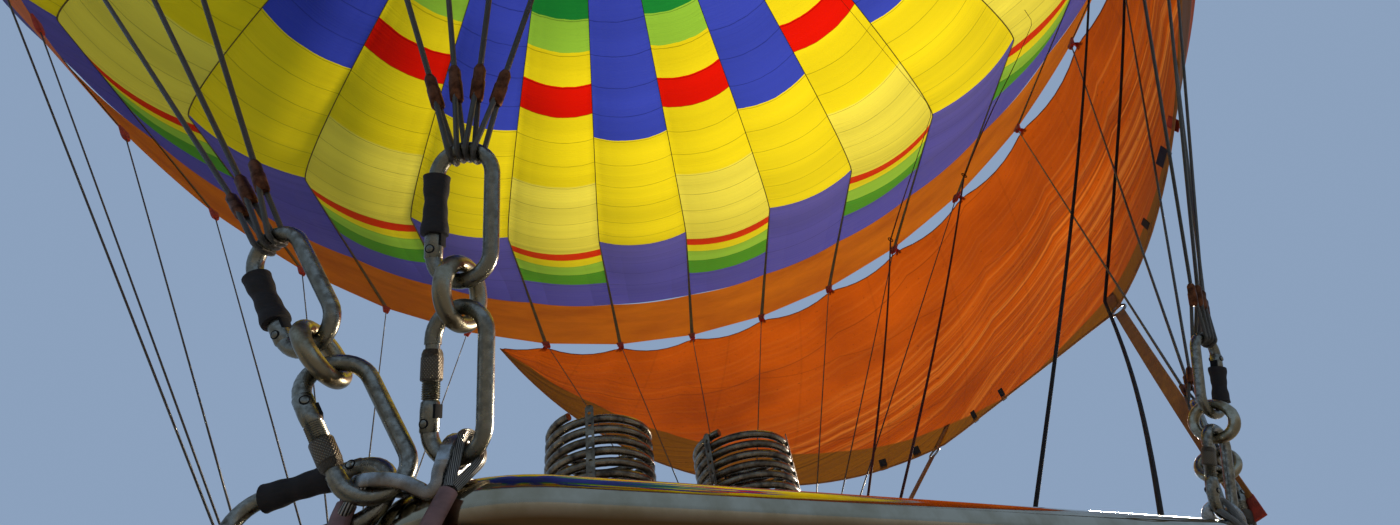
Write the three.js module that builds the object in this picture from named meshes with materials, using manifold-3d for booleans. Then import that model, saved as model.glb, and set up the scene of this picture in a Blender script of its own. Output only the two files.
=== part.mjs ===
// Hot air balloon: 28 gore envelope, double burner, wicker basket. Millimetres, +Z up.
// +X runs along the front tube of the load frame, from its left to its right, and +Y to the back.
// The origin is on the axis at the envelope's widest section, where the air carries the balloon.
// Heights in the constants are measured from the axis of the load frame's tube.

import * as THREE from 'three';
import { mergeVertices } from 'three/addons/utils/BufferGeometryUtils.js';
import Module from 'manifold-3d';

const wasm = await Module();
wasm.setup();

const DEG = Math.PI / 180;
const GAP = 0.3;

// Envelope: a cone from the mouth, a round shoulder, and a flattened dome
const GORES = 28;
const FIRST_TAPE = 135;
const SHELL = 10;
const MOUTH_RADIUS = 2078;
const MOUTH_HEIGHT = 2301;
const CONE_ANGLE = 40;
const CONE_LENGTH = 10200;
const SHOULDER_RADIUS = 6400;
const DOME_HEIGHT = 8400;
const BAND_WIDTH = 1640;
const PANEL_WIDTH = 1500;
const MOUTH_LOBE = 0.02;
const BAND_LOBE = 0.05;
const LOBE = 0.08;
const LOBE_END = 3500;
const VENT_RADIUS = 2600;
const VALVE_RADIUS = 2900;
const VALVE_STEP = 1450;
const HUB_LAP = 2;
const HUB_SET = 0.5;

// Crown ring and tapes over the vent
const CROWN_RING_RADIUS = 250;
const CROWN_RING_STOCK = 10;
const CROWN_RING_LIFT = 2;
const CROWN_TAPE_WIDTH = 38;

// Load frame: a bent steel tube with an ear, a tongue and a tie plate at each corner. The end
// chains hang in the upright ears, and the side chains in the level tongues.
const FRAME_WIDTH = 1070;
const FRAME_DEPTH = 1260;
const FRAME_TUBE = 25;
const FRAME_BEND = 120;
// Where each chain starts: in from the frame's width and from its depth, and its height
const END_EYE = [45, 0, 35];
const SIDE_EYE = [3, 15, 14];
const EAR_HOLE = 15;
const EAR_PLATE = 10;
const EAR_WIDTH = 50;
const EAR_SHANK = 34;
const EAR_SEAT = 4;
// The ear is bent round after the lower karabiner by this share of its turn
const EAR_TURN = 0.8;
// The tongue's hole: in from the frame's width and from its depth, and its radius
const TONGUE_IN = [7, 21];
const TONGUE_HOLE = 18;
const TONGUE_RADIUS = 27;
const TONGUE_ROOT = 40;
const TONGUE_LOW = 22;
const TONGUE_PLATE = 10;
const TIE_OUT = 44;
const TIE_ROOT = 52;
const TIE_RADIUS = 30;
const TIE_LOW = 2;
const TIE_PLATE = 10;
const TIE_HOLE = 18;

// Karabiners, the rings between them, and the flying wires
const KARABINER_LENGTH = 115;
const KARABINER_BOW = 23.5;
const KARABINER_STOCK = 6.5;
const RING_RADIUS = 24.5;
const RING_STOCK = 7;
const LINK_PLAY = 0.6;
// The spare karabiner: where it passes the tongue's plate, which way it lies, and its own turn
const HANDLING_AT = [-530.5, -601.5, 27];
const HANDLING_WAY = [-0.853, 0.492, -0.174];
const HANDLING_TURN = 5;
const EYE_LOOP_RADIUS = 12;
const EYE_LOOP_STOCK = 3;
const EYE_LOOP_SEAT = 1.8;
const WIRE_RADIUS = 3;
const WIRE_STEP = 28;
const WIRE_END = 1.4;

// Gimbal and burners
const GIMBAL_WIDTH = 880;
const GIMBAL_DEPTH = 1060;
const GIMBAL_TUBE = 12;
const GIMBAL_BEND = 60;
const PIN_RADIUS = 10;
const PIN_PLAY = 0.3;
const BOSS_RADIUS = 21;
const BOSS_OUT = 18;
const BORE_LEAD = 1;
const BURNER_SPACING = 320;
const BLOCK_SIZE = [470, 120, 70];
const CAN_RADIUS = 112;
const CAN_WALL = 5;
const CAN_TOP = 225;
const COIL_RADIUS = 105.7;
const COIL_TUBE = 16;
const COIL_TOP = 454;
const COLLAR_HEIGHT = 8;

// Scoop: a sheet of fabric below the mouth on the +X side, drawn to two corners
const SCOOP_TAPE = 92;
const SCOOP_TAPES = [4, 5, 6, 7, 8, 9, 10, 11, 12, 13, 14, 15, 16, 17];
const SCOOP_CORNER = [1250, 410, 800];
const SCOOP_SIDE_PULL = [665, 1330, 615];
const SCOOP_CORNER_SHARE = 0.2;
const SCOOP_BILLOW = 110;
const SCOOP_END = 0.98;
const SCOOP_SIDE_COLUMNS = 6;
const SCOOP_ROWS = 3;
const SCOOP_CLEAR = 12;
const SCOOP_OFF = 22;
const HANGER = [30, 14];
const STRAP_WIDTH = 40;
const STRAP_THICK = 5;
const STRAP_SEWN = 0.04;
const STRAP_ALONG = 80;

// Basket
const BASKET_WIDTH = 1240;
const BASKET_DEPTH = 1440;
const BASKET_CORNER = 120;
const WALL = 30;
const FLOOR_TOP = -1950;
const FLOOR_THICK = 18;
// A raised tread board between the fuel cylinders: width, depth and height
const TREAD_SIZE = [500, 1300, 6];
const WALL_TOP = -885;
const RIM_RADIUS = 35;
const RUNNER_HEIGHT = 40;
const RUNNER_WIDTH = 60;
const RUNNER_INSET = 80;
const STEP_SIZE = [220, 120];
const STEP_HEIGHT = -1500;
const STEP_SPACING = 620;
const UPRIGHT_RADIUS = 30;
const CYLINDER_RADIUS = 155;
const CYLINDER_HEIGHT = 800;
const CYLINDER_CLEAR = 8;
// Shares of the cylinder's radius and of its height, from the foot up
const CYLINDER_PROFILE = [
  [0, 0], [0.88, 0], [1, 0.04], [1, 0.86], [0.75, 0.95], [0.5, 0.95], [0.5, 1], [0, 1],
];

// Flats round the pieces: few on small or plain ones, to keep the object light
const FRAME_SIDES = 8;
const LINK_SIDES = 6;
const WIRE_SIDES = 4;
const RING_STEPS = 8;
const HOLE_STEPS = 12;
const ROUND_SIDES = 12;
const CAN_SIDES = 16;
const CYLINDER_SIDES = 14;

// Worked out from the sizes above
const GORE_ANGLE = 360 / GORES;
const CONE_END_RADIUS = MOUTH_RADIUS + CONE_LENGTH * Math.sin(CONE_ANGLE * DEG);
const WIDEST_RADIUS = CONE_END_RADIUS + SHOULDER_RADIUS * (1 - Math.cos(CONE_ANGLE * DEG));
const WIDEST_HEIGHT = MOUTH_HEIGHT + CONE_LENGTH * Math.cos(CONE_ANGLE * DEG)
  + SHOULDER_RADIUS * Math.sin(CONE_ANGLE * DEG);

const vec = (x, y, z) => new THREE.Vector3(x, y, z);
const tapeAngle = (tape) => (FIRST_TAPE - tape * GORE_ANGLE) * DEG;

// Finishes

function finish(color, roughness, metalness) {
  return () => new THREE.MeshStandardMaterial({ color, roughness, metalness });
}

const steel = finish(0x8c8a84, 0.35, 1);
const dullSteel = finish(0x5f5c56, 0.5, 1);
const wireSteel = finish(0x6e6b66, 0.5, 1);
const brass = finish(0xa8874a, 0.4, 1);
const yellowNylon = finish(0xe8d028, 0.7, 0);
const orangeFabric = finish(0xc05510, 0.8, 0);
const bandFabric = finish(0xa05010, 0.8, 0);
const valveFabric = finish(0x4050a0, 0.7, 0);
const webbing = finish(0xb8a060, 0.8, 0);
const leather = finish(0x5a3a20, 0.6, 0);
const wicker = finish(0xa8783c, 0.8, 0);
const plywood = finish(0xb08a58, 0.7, 0);
const coverFabric = finish(0x3c3c40, 0.8, 0);

// Solids

function toManifold(geometry) {
  const bare = geometry.clone();
  bare.deleteAttribute('normal');
  bare.deleteAttribute('uv');
  const merged = mergeVertices(bare, 1e-3);
  return new wasm.Manifold(new wasm.Mesh({
    numProp: 3,
    vertProperties: new Float32Array(merged.attributes.position.array),
    triVerts: new Uint32Array(merged.index.array),
  }));
}

function fromManifold(solid) {
  const mesh = solid.getMesh();
  const geometry = new THREE.BufferGeometry();
  geometry.setAttribute('position', new THREE.BufferAttribute(new Float32Array(mesh.vertProperties), 3));
  geometry.setIndex(new THREE.BufferAttribute(new Uint32Array(mesh.triVerts), 1));
  geometry.computeVertexNormals();
  return geometry;
}

function joined(geometries) {
  const solids = geometries.map(toManifold);
  return fromManifold(solids.reduce((whole, piece) => whole.add(piece)));
}

function cut(geometry, tools) {
  const whole = toManifold(geometry);
  return fromManifold(tools.map(toManifold).reduce((rest, tool) => rest.subtract(tool), whole));
}

// A closed body from rows of points on its outer and its inner face. A closed sheet runs all the
// way round, so its last column meets its first.
function sheetSolid(outer, inner, closed) {
  const rows = outer.length;
  const columns = outer[0].length;
  const points = [...outer.flat(), ...inner.flat()];
  const at = (side, row, column) => side * rows * columns + row * columns + (column % columns);
  const index = [];
  const quad = (a, b, c, d) => index.push(a, b, c, a, c, d);
  const spans = closed ? columns : columns - 1;
  for (let row = 0; row < rows - 1; row += 1) {
    for (let column = 0; column < spans; column += 1) {
      const next = column + 1;
      quad(at(0, row, column), at(0, row, next), at(0, row + 1, next), at(0, row + 1, column));
      quad(at(1, row, column), at(1, row + 1, column), at(1, row + 1, next), at(1, row, next));
    }
  }
  for (let column = 0; column < spans; column += 1) {
    const next = column + 1;
    quad(at(1, 0, column), at(1, 0, next), at(0, 0, next), at(0, 0, column));
    quad(at(0, rows - 1, column), at(0, rows - 1, next), at(1, rows - 1, next), at(1, rows - 1, column));
  }
  for (let row = 0; row < rows - 1 && !closed; row += 1) {
    quad(at(0, row, 0), at(0, row + 1, 0), at(1, row + 1, 0), at(1, row, 0));
    quad(at(1, row, spans), at(1, row + 1, spans), at(0, row + 1, spans), at(0, row, spans));
  }
  return facingOut(indexed(points, index));
}

function indexed(points, index) {
  const geometry = new THREE.BufferGeometry();
  geometry.setFromPoints(points);
  geometry.setIndex(index);
  return geometry;
}

function facingOut(geometry) {
  const { array } = geometry.attributes.position;
  const index = geometry.index.array;
  const corner = (i) => vec(array[3 * i], array[3 * i + 1], array[3 * i + 2]);
  const middle = corner(0);
  let volume = 0;
  for (let i = 0; i < index.length; i += 3) {
    const [a, b, c] = [0, 1, 2].map((k) => corner(index[i + k]).sub(middle));
    volume += a.dot(b.cross(c));
  }
  if (volume < 0) {
    for (let i = 0; i < index.length; i += 3) {
      [index[i], index[i + 1]] = [index[i + 1], index[i]];
    }
  }
  geometry.computeVertexNormals();
  return geometry;
}

// A path of arcs in the XY plane, joined by straight lines. Each arc is
// [centre x, centre y, radius, first angle, last angle, steps], with angles in degrees.
function arcPath(arcs) {
  return arcs.flatMap(([x, y, radius, first, last, steps]) => {
    const points = [];
    for (let step = 0; step <= steps; step += 1) {
      const angle = (first + (last - first) * step / steps) * DEG;
      const out = vec(Math.cos(angle), Math.sin(angle), 0);
      points.push({ at: vec(x, y, 0).addScaledVector(out, radius), out });
    }
    return points;
  });
}

function roundedRectangle(width, depth, corner, steps) {
  const x = width / 2 - corner;
  const y = depth / 2 - corner;
  return arcPath([
    [x, y, corner, 0, 90, steps],
    [-x, y, corner, 90, 180, steps],
    [-x, -y, corner, 180, 270, steps],
    [x, -y, corner, 270, 360, steps],
  ]);
}

function stadium(length, radius, steps) {
  return arcPath([
    [0, length / 2 - radius, radius, 0, 180, steps],
    [0, radius - length / 2, radius, 180, 360, steps],
  ]);
}

function circle(radius, steps) {
  return arcPath([[0, 0, radius, 0, 360 - 360 / steps, steps - 1]]);
}

// A round tube along a closed path
function loopTube(path, radius, sides) {
  const points = path.flatMap(({ at, out }) => {
    const section = [];
    for (let side = 0; side < sides; side += 1) {
      const angle = 2 * Math.PI * side / sides;
      section.push(at.clone().addScaledVector(out, radius * Math.cos(angle))
        .add(vec(0, 0, radius * Math.sin(angle))));
    }
    return section;
  });
  const index = [];
  path.forEach((_, step) => {
    const next = (step + 1) % path.length;
    for (let side = 0; side < sides; side += 1) {
      const turn = (side + 1) % sides;
      const [a, b] = [step * sides + side, next * sides + side];
      const [c, d] = [next * sides + turn, step * sides + turn];
      index.push(a, b, c, a, c, d);
    }
  });
  return facingOut(indexed(points, index));
}

function outline(path) {
  return new THREE.Shape(path.map(({ at }) => new THREE.Vector2(at.x, at.y)));
}

function plate(path, low, high, holes = []) {
  const shape = outline(path);
  shape.holes = holes.map(outline);
  const geometry = new THREE.ExtrudeGeometry(shape, { depth: high - low, bevelEnabled: false });
  return geometry.translate(0, 0, low);
}

function box(width, depth, height, x = 0, y = 0, z = 0) {
  return new THREE.BoxGeometry(width, depth, height).translate(x, y, z);
}

// A round bar between two points, its flats square to its length
function bar(from, to, radius, sides) {
  const length = from.distanceTo(to);
  const geometry = new THREE.CylinderGeometry(radius, radius, length, sides);
  const turn = new THREE.Quaternion().setFromUnitVectors(vec(0, 1, 0), to.clone().sub(from).normalize());
  const middle = from.clone().add(to).multiplyScalar(0.5);
  return geometry.applyQuaternion(turn).translate(middle.x, middle.y, middle.z);
}

function turned(profile, segments) {
  const points = profile.map(([radius, height]) => new THREE.Vector2(radius, height));
  return new THREE.LatheGeometry(points, segments).rotateX(90 * DEG);
}

// Envelope

// Stations up the envelope give a radius, a height, the way out, and how far each gore bulges
// between its tapes, as a share of its width.
function coneStation(along, lobe) {
  const [sin, cos] = [Math.sin(CONE_ANGLE * DEG), Math.cos(CONE_ANGLE * DEG)];
  return {
    radius: MOUTH_RADIUS + along * sin,
    height: MOUTH_HEIGHT + along * cos,
    out: new THREE.Vector2(cos, -sin),
    lobe,
  };
}

function shoulderStation(angle, lobe) {
  const out = new THREE.Vector2(Math.cos(angle * DEG), -Math.sin(angle * DEG));
  return {
    radius: WIDEST_RADIUS - SHOULDER_RADIUS * (1 - out.x),
    height: WIDEST_HEIGHT + SHOULDER_RADIUS * out.y,
    out,
    lobe,
  };
}

function domeStation(radius, lobe) {
  const rise = DOME_HEIGHT * Math.sqrt(1 - (radius / WIDEST_RADIUS) ** 2);
  const out = new THREE.Vector2(radius / WIDEST_RADIUS ** 2, rise / DOME_HEIGHT ** 2).normalize();
  return { radius, height: WIDEST_HEIGHT + rise, out, lobe };
}

const bandStations = [coneStation(0, MOUTH_LOBE), coneStation(BAND_WIDTH, BAND_LOBE)];

const shellStations = [
  coneStation(BAND_WIDTH + GAP, BAND_LOBE),
  coneStation(BAND_WIDTH + 2 * PANEL_WIDTH, LOBE),
  coneStation(CONE_LENGTH, LOBE),
  ...[27, 13, 0].map((angle) => shoulderStation(angle, LOBE)),
  ...[0.95, 0.83, 0.66, 0.48].map((share) => domeStation(share * WIDEST_RADIUS, LOBE)),
  domeStation(LOBE_END, 0),
  domeStation(VALVE_RADIUS, 0),
  domeStation(VENT_RADIUS, 0),
];

// A point of the envelope at a station, half gores round from the first tape, at a depth below
// the outer face. A trim turns the point about the axis by that many millimetres.
function gorePoint(station, halfGore, depth, trim = 0) {
  const half = GORE_ANGLE / 2 * DEG;
  const bulge = 2 * station.radius * Math.sin(half) * station.lobe;
  const middle = halfGore % 2 !== 0;
  const reach = (middle ? station.radius * Math.cos(half) + bulge : station.radius) - depth * station.out.x;
  const angle = tapeAngle(halfGore / 2) - trim / station.radius;
  return vec(reach * Math.cos(angle), reach * Math.sin(angle), station.height - depth * station.out.y);
}

function goreSheet(stations, firstTape, gores, top, bottom) {
  const closed = gores === GORES;
  const columns = 2 * gores + (closed ? 0 : 1);
  const trim = (column) => {
    if (closed) return 0;
    return { 0: GAP / 2, [columns - 1]: -GAP / 2 }[column] ?? 0;
  };
  const face = (depth) => stations.map((station) => Array.from({ length: columns }, (_, column) => (
    gorePoint(station, 2 * firstTape + column, depth, trim(column)))));
  return sheetSolid(face(top), face(bottom), closed);
}

// The valve is a disc under the tapes, which closes the vent from inside
function parachute() {
  const radii = [CROWN_RING_RADIUS, VALVE_STEP, VENT_RADIUS, VALVE_RADIUS];
  const face = (depth) => radii.map((radius) => Array.from({ length: GORES }, (_, tape) => (
    gorePoint(domeStation(radius, 0), 2 * tape, depth))));
  const outer = face(SHELL + GAP);
  const inner = face(2 * SHELL + GAP);
  const rim = sheetSolid(outer, inner, true);
  const last = domeStation(CROWN_RING_RADIUS, 0);
  const hubRadius = last.radius + HUB_LAP;
  const hub = new THREE.CylinderGeometry(hubRadius, hubRadius, SHELL - 2 * HUB_SET, GORES);
  hub.rotateX(90 * DEG).rotateZ(tapeAngle(0));
  hub.translate(0, 0, last.height - 1.5 * SHELL - GAP);
  return joined([rim, hub]);
}

function crownTape(tape) {
  const angle = tapeAngle(tape);
  const across = vec(-Math.sin(angle), Math.cos(angle), 0).multiplyScalar(CROWN_TAPE_WIDTH / 2);
  const rimGap = 2 * GAP + CROWN_TAPE_WIDTH / 2 * Math.tan(GORE_ANGLE / 2 * DEG);
  const radii = [CROWN_RING_RADIUS, VALVE_STEP, VENT_RADIUS - rimGap];
  const face = (depth) => radii.map((radius) => {
    const point = gorePoint(domeStation(radius, 0), 2 * tape, depth);
    return [point.clone().sub(across), point.clone().add(across)];
  });
  return sheetSolid(face(0), face(SHELL), false);
}

function crown() {
  const station = domeStation(CROWN_RING_RADIUS, 0);
  const ring = loopTube(circle(CROWN_RING_RADIUS, GORES), CROWN_RING_STOCK, LINK_SIDES);
  ring.rotateZ(tapeAngle(0)).translate(0, 0, station.height + CROWN_RING_LIFT);
  return joined([ring, ...Array.from({ length: GORES }, (_, tape) => crownTape(tape))]);
}

// Rigging: one chain of karabiner, ring and karabiner for each fan of flying wires

// name, sign of x, sign of y, eye on the end tube, first tape, number of wires, and how far each link
// turns about the chain, in degrees: lower karabiner, ring, upper karabiner
const CHAINS = [
  ['back_left_end', -1, 1, true, 0, 4, [44, 44, 33]],
  ['back_right_end', 1, 1, true, 4, 4, [7, 10, 3]],
  ['back_right_side', 1, 1, false, 8, 3, [2, 16, 30]],
  ['front_right_side', 1, -1, false, 11, 3, [2, 16, 30]],
  ['front_right_end', 1, -1, true, 14, 4, [7, 10, 3]],
  ['front_left_end', -1, -1, true, 18, 4, [44, 44, 33]],
  ['front_left_side', -1, -1, false, 22, 3, [4, 24, 44]],
  ['back_left_side', -1, 1, false, 25, 3, [4, 24, 44]],
].map(([name, sx, sy, end, firstTape, wires, degrees]) => {
  const [inX, inY, height] = end ? END_EYE : SIDE_EYE;
  const eye = vec(sx * (FRAME_WIDTH / 2 - inX), sy * (FRAME_DEPTH / 2 - inY), height);
  const ends = Array.from({ length: wires }, (_, wire) => mouthEnd(firstTape + wire));
  const middle = ends.reduce((sum, point) => sum.add(point), vec(0, 0, 0)).divideScalar(wires);
  const up = middle.sub(eye).normalize();
  const out = vec(0, sy, 0);
  const face = out.addScaledVector(up, -out.dot(up)).normalize();
  const across = up.clone().cross(face);
  const turns = degrees.map((turn) => -sx * sy * turn * DEG);
  return { name, end, firstTape, eye, ends, up, face, across, turns };
});

// The ways across and out of a chain after a turn about its length
function turnedWays({ up, face, across }, turn) {
  return [across, face].map((way) => way.clone().applyAxisAngle(up, turn));
}

function mouthEnd(tape) {
  const station = coneStation(0, MOUTH_LOBE);
  return gorePoint(station, 2 * tape, SHELL / 2);
}

function placed(mesh, at, x, y, z) {
  mesh.position.copy(at);
  mesh.quaternion.setFromRotationMatrix(new THREE.Matrix4().makeBasis(x, y, z));
  return mesh;
}

function chainPoint(chain, along) {
  return chain.eye.clone().addScaledVector(chain.up, along);
}

const LINK_SEAT = RING_RADIUS - RING_STOCK - KARABINER_STOCK - LINK_PLAY;
const RING_ALONG = KARABINER_LENGTH + LINK_SEAT;
const UPPER_ALONG = RING_ALONG + LINK_SEAT;
const FAN_ALONG = UPPER_ALONG + KARABINER_LENGTH + EYE_LOOP_SEAT;

function karabinerShape() {
  return loopTube(stadium(KARABINER_LENGTH, KARABINER_BOW, 4), KARABINER_STOCK, LINK_SIDES);
}

function ringShape() {
  return loopTube(circle(RING_RADIUS, RING_STEPS), RING_STOCK, LINK_SIDES);
}

// Each wire of a fan starts a little further round the top of the loop that joins them
function wireStart(chain, wire) {
  const angle = (wire - (chain.ends.length - 1) / 2) * WIRE_STEP * DEG;
  const [, face] = turnedWays(chain, chain.turns[2]);
  return chainPoint(chain, FAN_ALONG + EYE_LOOP_RADIUS * Math.cos(angle))
    .addScaledVector(face, EYE_LOOP_RADIUS * Math.sin(angle));
}

function fanShape(chain) {
  const loop = loopTube(circle(EYE_LOOP_RADIUS, RING_STEPS), EYE_LOOP_STOCK, WIRE_SIDES);
  const [across, face] = turnedWays(chain, chain.turns[2]);
  const basis = new THREE.Matrix4().makeBasis(face, chain.up, across.negate());
  loop.applyMatrix4(basis.setPosition(chainPoint(chain, FAN_ALONG)));
  const wires = chain.ends.map((end, wire) => {
    const start = wireStart(chain, wire);
    const way = end.clone().sub(start).normalize();
    return bar(start, end.clone().addScaledVector(way, -WIRE_END), WIRE_RADIUS, WIRE_SIDES);
  });
  return joined([loop, ...wires]);
}

// Load frame

function ear(chain) {
  const hole = circle(EAR_HOLE, HOLE_STEPS);
  const shape = arcPath([
    [0, 0, EAR_WIDTH / 2, 0, 180, 5],
    [0, -EAR_SHANK, EAR_WIDTH / 2, 180, 360, 1],
  ]);
  const lug = plate(shape, -EAR_PLATE / 2, EAR_PLATE / 2, [hole]);
  const [across, face] = turnedWays(chain, chain.turns[0] * EAR_TURN);
  const basis = new THREE.Matrix4().makeBasis(face, chain.up, across.negate());
  return lug.applyMatrix4(basis.setPosition(chainPoint(chain, -EAR_SEAT)));
}

// A rounded plate that runs from a hole back to its root on the tube
function eyePlate(hole, radius, root, low, thick) {
  const shape = arcPath([[0, 0, radius, -90, 90, 4], [-root, 0, radius, 90, 270, 1]]);
  return plate(shape, low, low + thick, [circle(hole, HOLE_STEPS)]);
}

function tongue(sx, sy) {
  const x = sx * (FRAME_WIDTH / 2 - TONGUE_IN[0]);
  const y = sy * (FRAME_DEPTH / 2 - TONGUE_IN[1]);
  const geometry = eyePlate(TONGUE_HOLE, TONGUE_RADIUS, TONGUE_ROOT, TONGUE_LOW, TONGUE_PLATE);
  return geometry.rotateZ(Math.atan2(sy, sx)).translate(x, y, 0);
}

function tieCentre(sx, sy) {
  return vec(sx * (FRAME_WIDTH / 2 + TIE_OUT), sy * (FRAME_DEPTH / 2 - FRAME_BEND), 0);
}

function tiePlate(sx, sy) {
  const centre = tieCentre(sx, sy);
  const geometry = eyePlate(TIE_HOLE, TIE_RADIUS, TIE_ROOT, TIE_LOW, TIE_PLATE);
  if (sx < 0) geometry.rotateZ(Math.PI);
  return geometry.translate(centre.x, centre.y, 0);
}

const CORNERS = [[-1, -1], [1, -1], [1, 1], [-1, 1]];

function boss(from, to) {
  return bar(from, to, BOSS_RADIUS, ROUND_SIDES);
}

function pinHole(from, to) {
  return bar(from, to, (PIN_RADIUS + PIN_PLAY) / Math.cos(Math.PI / ROUND_SIDES), ROUND_SIDES);
}

// The two ends of a bearing on an inner face, along x or along y
function bearing(half, tube, alongX) {
  const point = (distance) => (alongX ? vec(distance, 0, 0) : vec(0, distance, 0));
  const inner = half - tube - BOSS_OUT;
  return [1, -1].map((side) => ({
    boss: boss(point(side * inner), point(side * (half - tube / 2))),
    hole: pinHole(point(side * (inner - BORE_LEAD)), point(side * (half - tube))),
    pinEnd: point(side * (half - tube - GAP)),
  }));
}

const frameBearings = bearing(FRAME_WIDTH / 2, FRAME_TUBE, true);
const gimbalBearings = bearing(GIMBAL_DEPTH / 2, GIMBAL_TUBE, false);

function loadFrame() {
  const tube = loopTube(roundedRectangle(FRAME_WIDTH, FRAME_DEPTH, FRAME_BEND, 3), FRAME_TUBE, FRAME_SIDES);
  const whole = joined([
    tube,
    ...CHAINS.filter(({ end }) => end).map(ear),
    ...CORNERS.map(([sx, sy]) => tongue(sx, sy)),
    ...CORNERS.map(([sx, sy]) => tiePlate(sx, sy)),
    ...frameBearings.map((end) => end.boss),
  ]);
  return cut(whole, frameBearings.map((end) => end.hole));
}

function gimbalFrame() {
  const tube = loopTube(roundedRectangle(GIMBAL_WIDTH, GIMBAL_DEPTH, GIMBAL_BEND, 2), GIMBAL_TUBE, LINK_SIDES);
  const pins = frameBearings.map(({ pinEnd }) => (
    bar(pinEnd, vec(Math.sign(pinEnd.x) * GIMBAL_WIDTH / 2, 0, 0), PIN_RADIUS, ROUND_SIDES)));
  const whole = joined([tube, ...pins, ...gimbalBearings.map((end) => end.boss)]);
  return cut(whole, gimbalBearings.map((end) => end.hole));
}

function burnerBlock() {
  const [width, depth, height] = BLOCK_SIZE;
  const [one, other] = gimbalBearings.map((end) => end.pinEnd);
  return joined([box(width, depth, height), bar(one, other, PIN_RADIUS, ROUND_SIDES)]);
}

function canShape() {
  const low = BLOCK_SIZE[2] / 2 + GAP;
  return turned([
    [0, low], [CAN_RADIUS, low], [CAN_RADIUS, CAN_TOP], [CAN_RADIUS - CAN_WALL, CAN_TOP],
    [CAN_RADIUS - CAN_WALL, low + CAN_WALL], [0, low + CAN_WALL],
  ], CAN_SIDES);
}

function coilShape() {
  const inner = COIL_RADIUS - COIL_TUBE;
  const seat = CAN_TOP + GAP;
  const collar = seat + COLLAR_HEIGHT;
  return turned([
    [inner, seat], [CAN_RADIUS, seat], [CAN_RADIUS, collar], [COIL_RADIUS, collar],
    [COIL_RADIUS, COIL_TOP], [inner, COIL_TOP], [inner, seat],
  ], CAN_SIDES);
}

// Scoop

function scoopSide(side, share) {
  const curve = new THREE.QuadraticBezierCurve3(
    vec(SCOOP_CORNER[0], side * SCOOP_CORNER[1], SCOOP_CORNER[2]),
    vec(SCOOP_SIDE_PULL[0], side * SCOOP_SIDE_PULL[1], SCOOP_SIDE_PULL[2]),
    scoopTop(side),
  );
  return curve.getPoint(share);
}

// A point of the scoop's top edge, from -1 at its front end to 1 at its back end. The edge
// hangs a little below the mouth and outside the flying wires.
function scoopTop(way) {
  const angle = way * SCOOP_TAPE * DEG;
  const radius = MOUTH_RADIUS + SCOOP_OFF;
  return vec(radius * Math.cos(angle), radius * Math.sin(angle), MOUTH_HEIGHT - SCOOP_CLEAR);
}

function scoopLow(way) {
  const side = Math.sign(way) || 1;
  const share = Math.abs(way);
  if (share < SCOOP_CORNER_SHARE) {
    const y = side * SCOOP_CORNER[1] * share / SCOOP_CORNER_SHARE;
    return vec(SCOOP_CORNER[0], y, SCOOP_CORNER[2]);
  }
  return scoopSide(side, (share - SCOOP_CORNER_SHARE) / (1 - SCOOP_CORNER_SHARE));
}

// Columns of the scoop, with one at each low corner
const sideWays = Array.from({ length: SCOOP_SIDE_COLUMNS + 1 }, (_, column) => (
  SCOOP_CORNER_SHARE + (SCOOP_END - SCOOP_CORNER_SHARE) * column / SCOOP_SIDE_COLUMNS));
const frontWays = [-0.5, 0, 0.5].map((share) => share * SCOOP_CORNER_SHARE);
const scoopWays = [...sideWays.map((way) => -way).reverse(), ...frontWays, ...sideWays];

function scoopPoint(way, down, depth) {
  const point = scoopTop(way).lerp(scoopLow(way), down);
  const out = vec(point.x, point.y, 0).normalize();
  const billow = SCOOP_BILLOW * Math.sin(Math.PI * down) * (1 - way * way);
  return point.addScaledVector(out, billow - depth);
}

function scoopShape() {
  const face = (depth) => Array.from({ length: SCOOP_ROWS + 1 }, (_, row) => (
    scoopWays.map((way) => scoopPoint(way, row / SCOOP_ROWS, depth))));
  return sheetSolid(face(0), face(SHELL), false);
}

// A short loop of webbing that holds the scoop's top edge to the flying wire at a tape
function scoopHanger(tape) {
  const chain = CHAINS.find(({ firstTape, ends }) => tape >= firstTape && tape < firstTape + ends.length);
  const end = chain.ends[tape - chain.firstTape];
  const start = wireStart(chain, tape - chain.firstTape);
  const way = end.clone().sub(start);
  const [width, height] = HANGER;
  const top = MOUTH_HEIGHT - SCOOP_CLEAR;
  const beside = start.clone().addScaledVector(way, (top - start.z) / way.z);
  const inner = Math.hypot(beside.x, beside.y) + WIRE_RADIUS * way.length() / way.z + 3 * GAP;
  const outer = MOUTH_RADIUS + SCOOP_OFF - SHELL / 2;
  const geometry = box(outer - inner, width, height, (inner + outer) / 2, 0, top - height / 2);
  return geometry.rotateZ(Math.atan2(beside.y, beside.x));
}

// Webbing from each low corner of the scoop down to the lower karabiner of the side chain
function scoopStrap(side) {
  const name = side < 0 ? 'front_right_side' : 'back_right_side';
  const chain = CHAINS.find((row) => row.name === name);
  const corner = scoopPoint(side * SCOOP_CORNER_SHARE, 1 - STRAP_SEWN, SHELL / 2);
  const beside = KARABINER_BOW + KARABINER_STOCK + STRAP_THICK / 2 + 2 * GAP;
  const start = chainPoint(chain, STRAP_ALONG)
    .addScaledVector(chain.across, Math.sign(chain.across.x) * beside);
  const across = corner.clone().sub(start).cross(vec(0, 1, 0)).normalize();
  const wide = vec(0, 1, 0).multiplyScalar(STRAP_WIDTH / 2);
  const face = (lift) => [start, corner].map((point) => {
    const middle = point.clone().addScaledVector(across, lift);
    return [middle.clone().sub(wide), middle.clone().add(wide)];
  });
  return sheetSolid(face(STRAP_THICK / 2), face(-STRAP_THICK / 2), false);
}

// Basket

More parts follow.
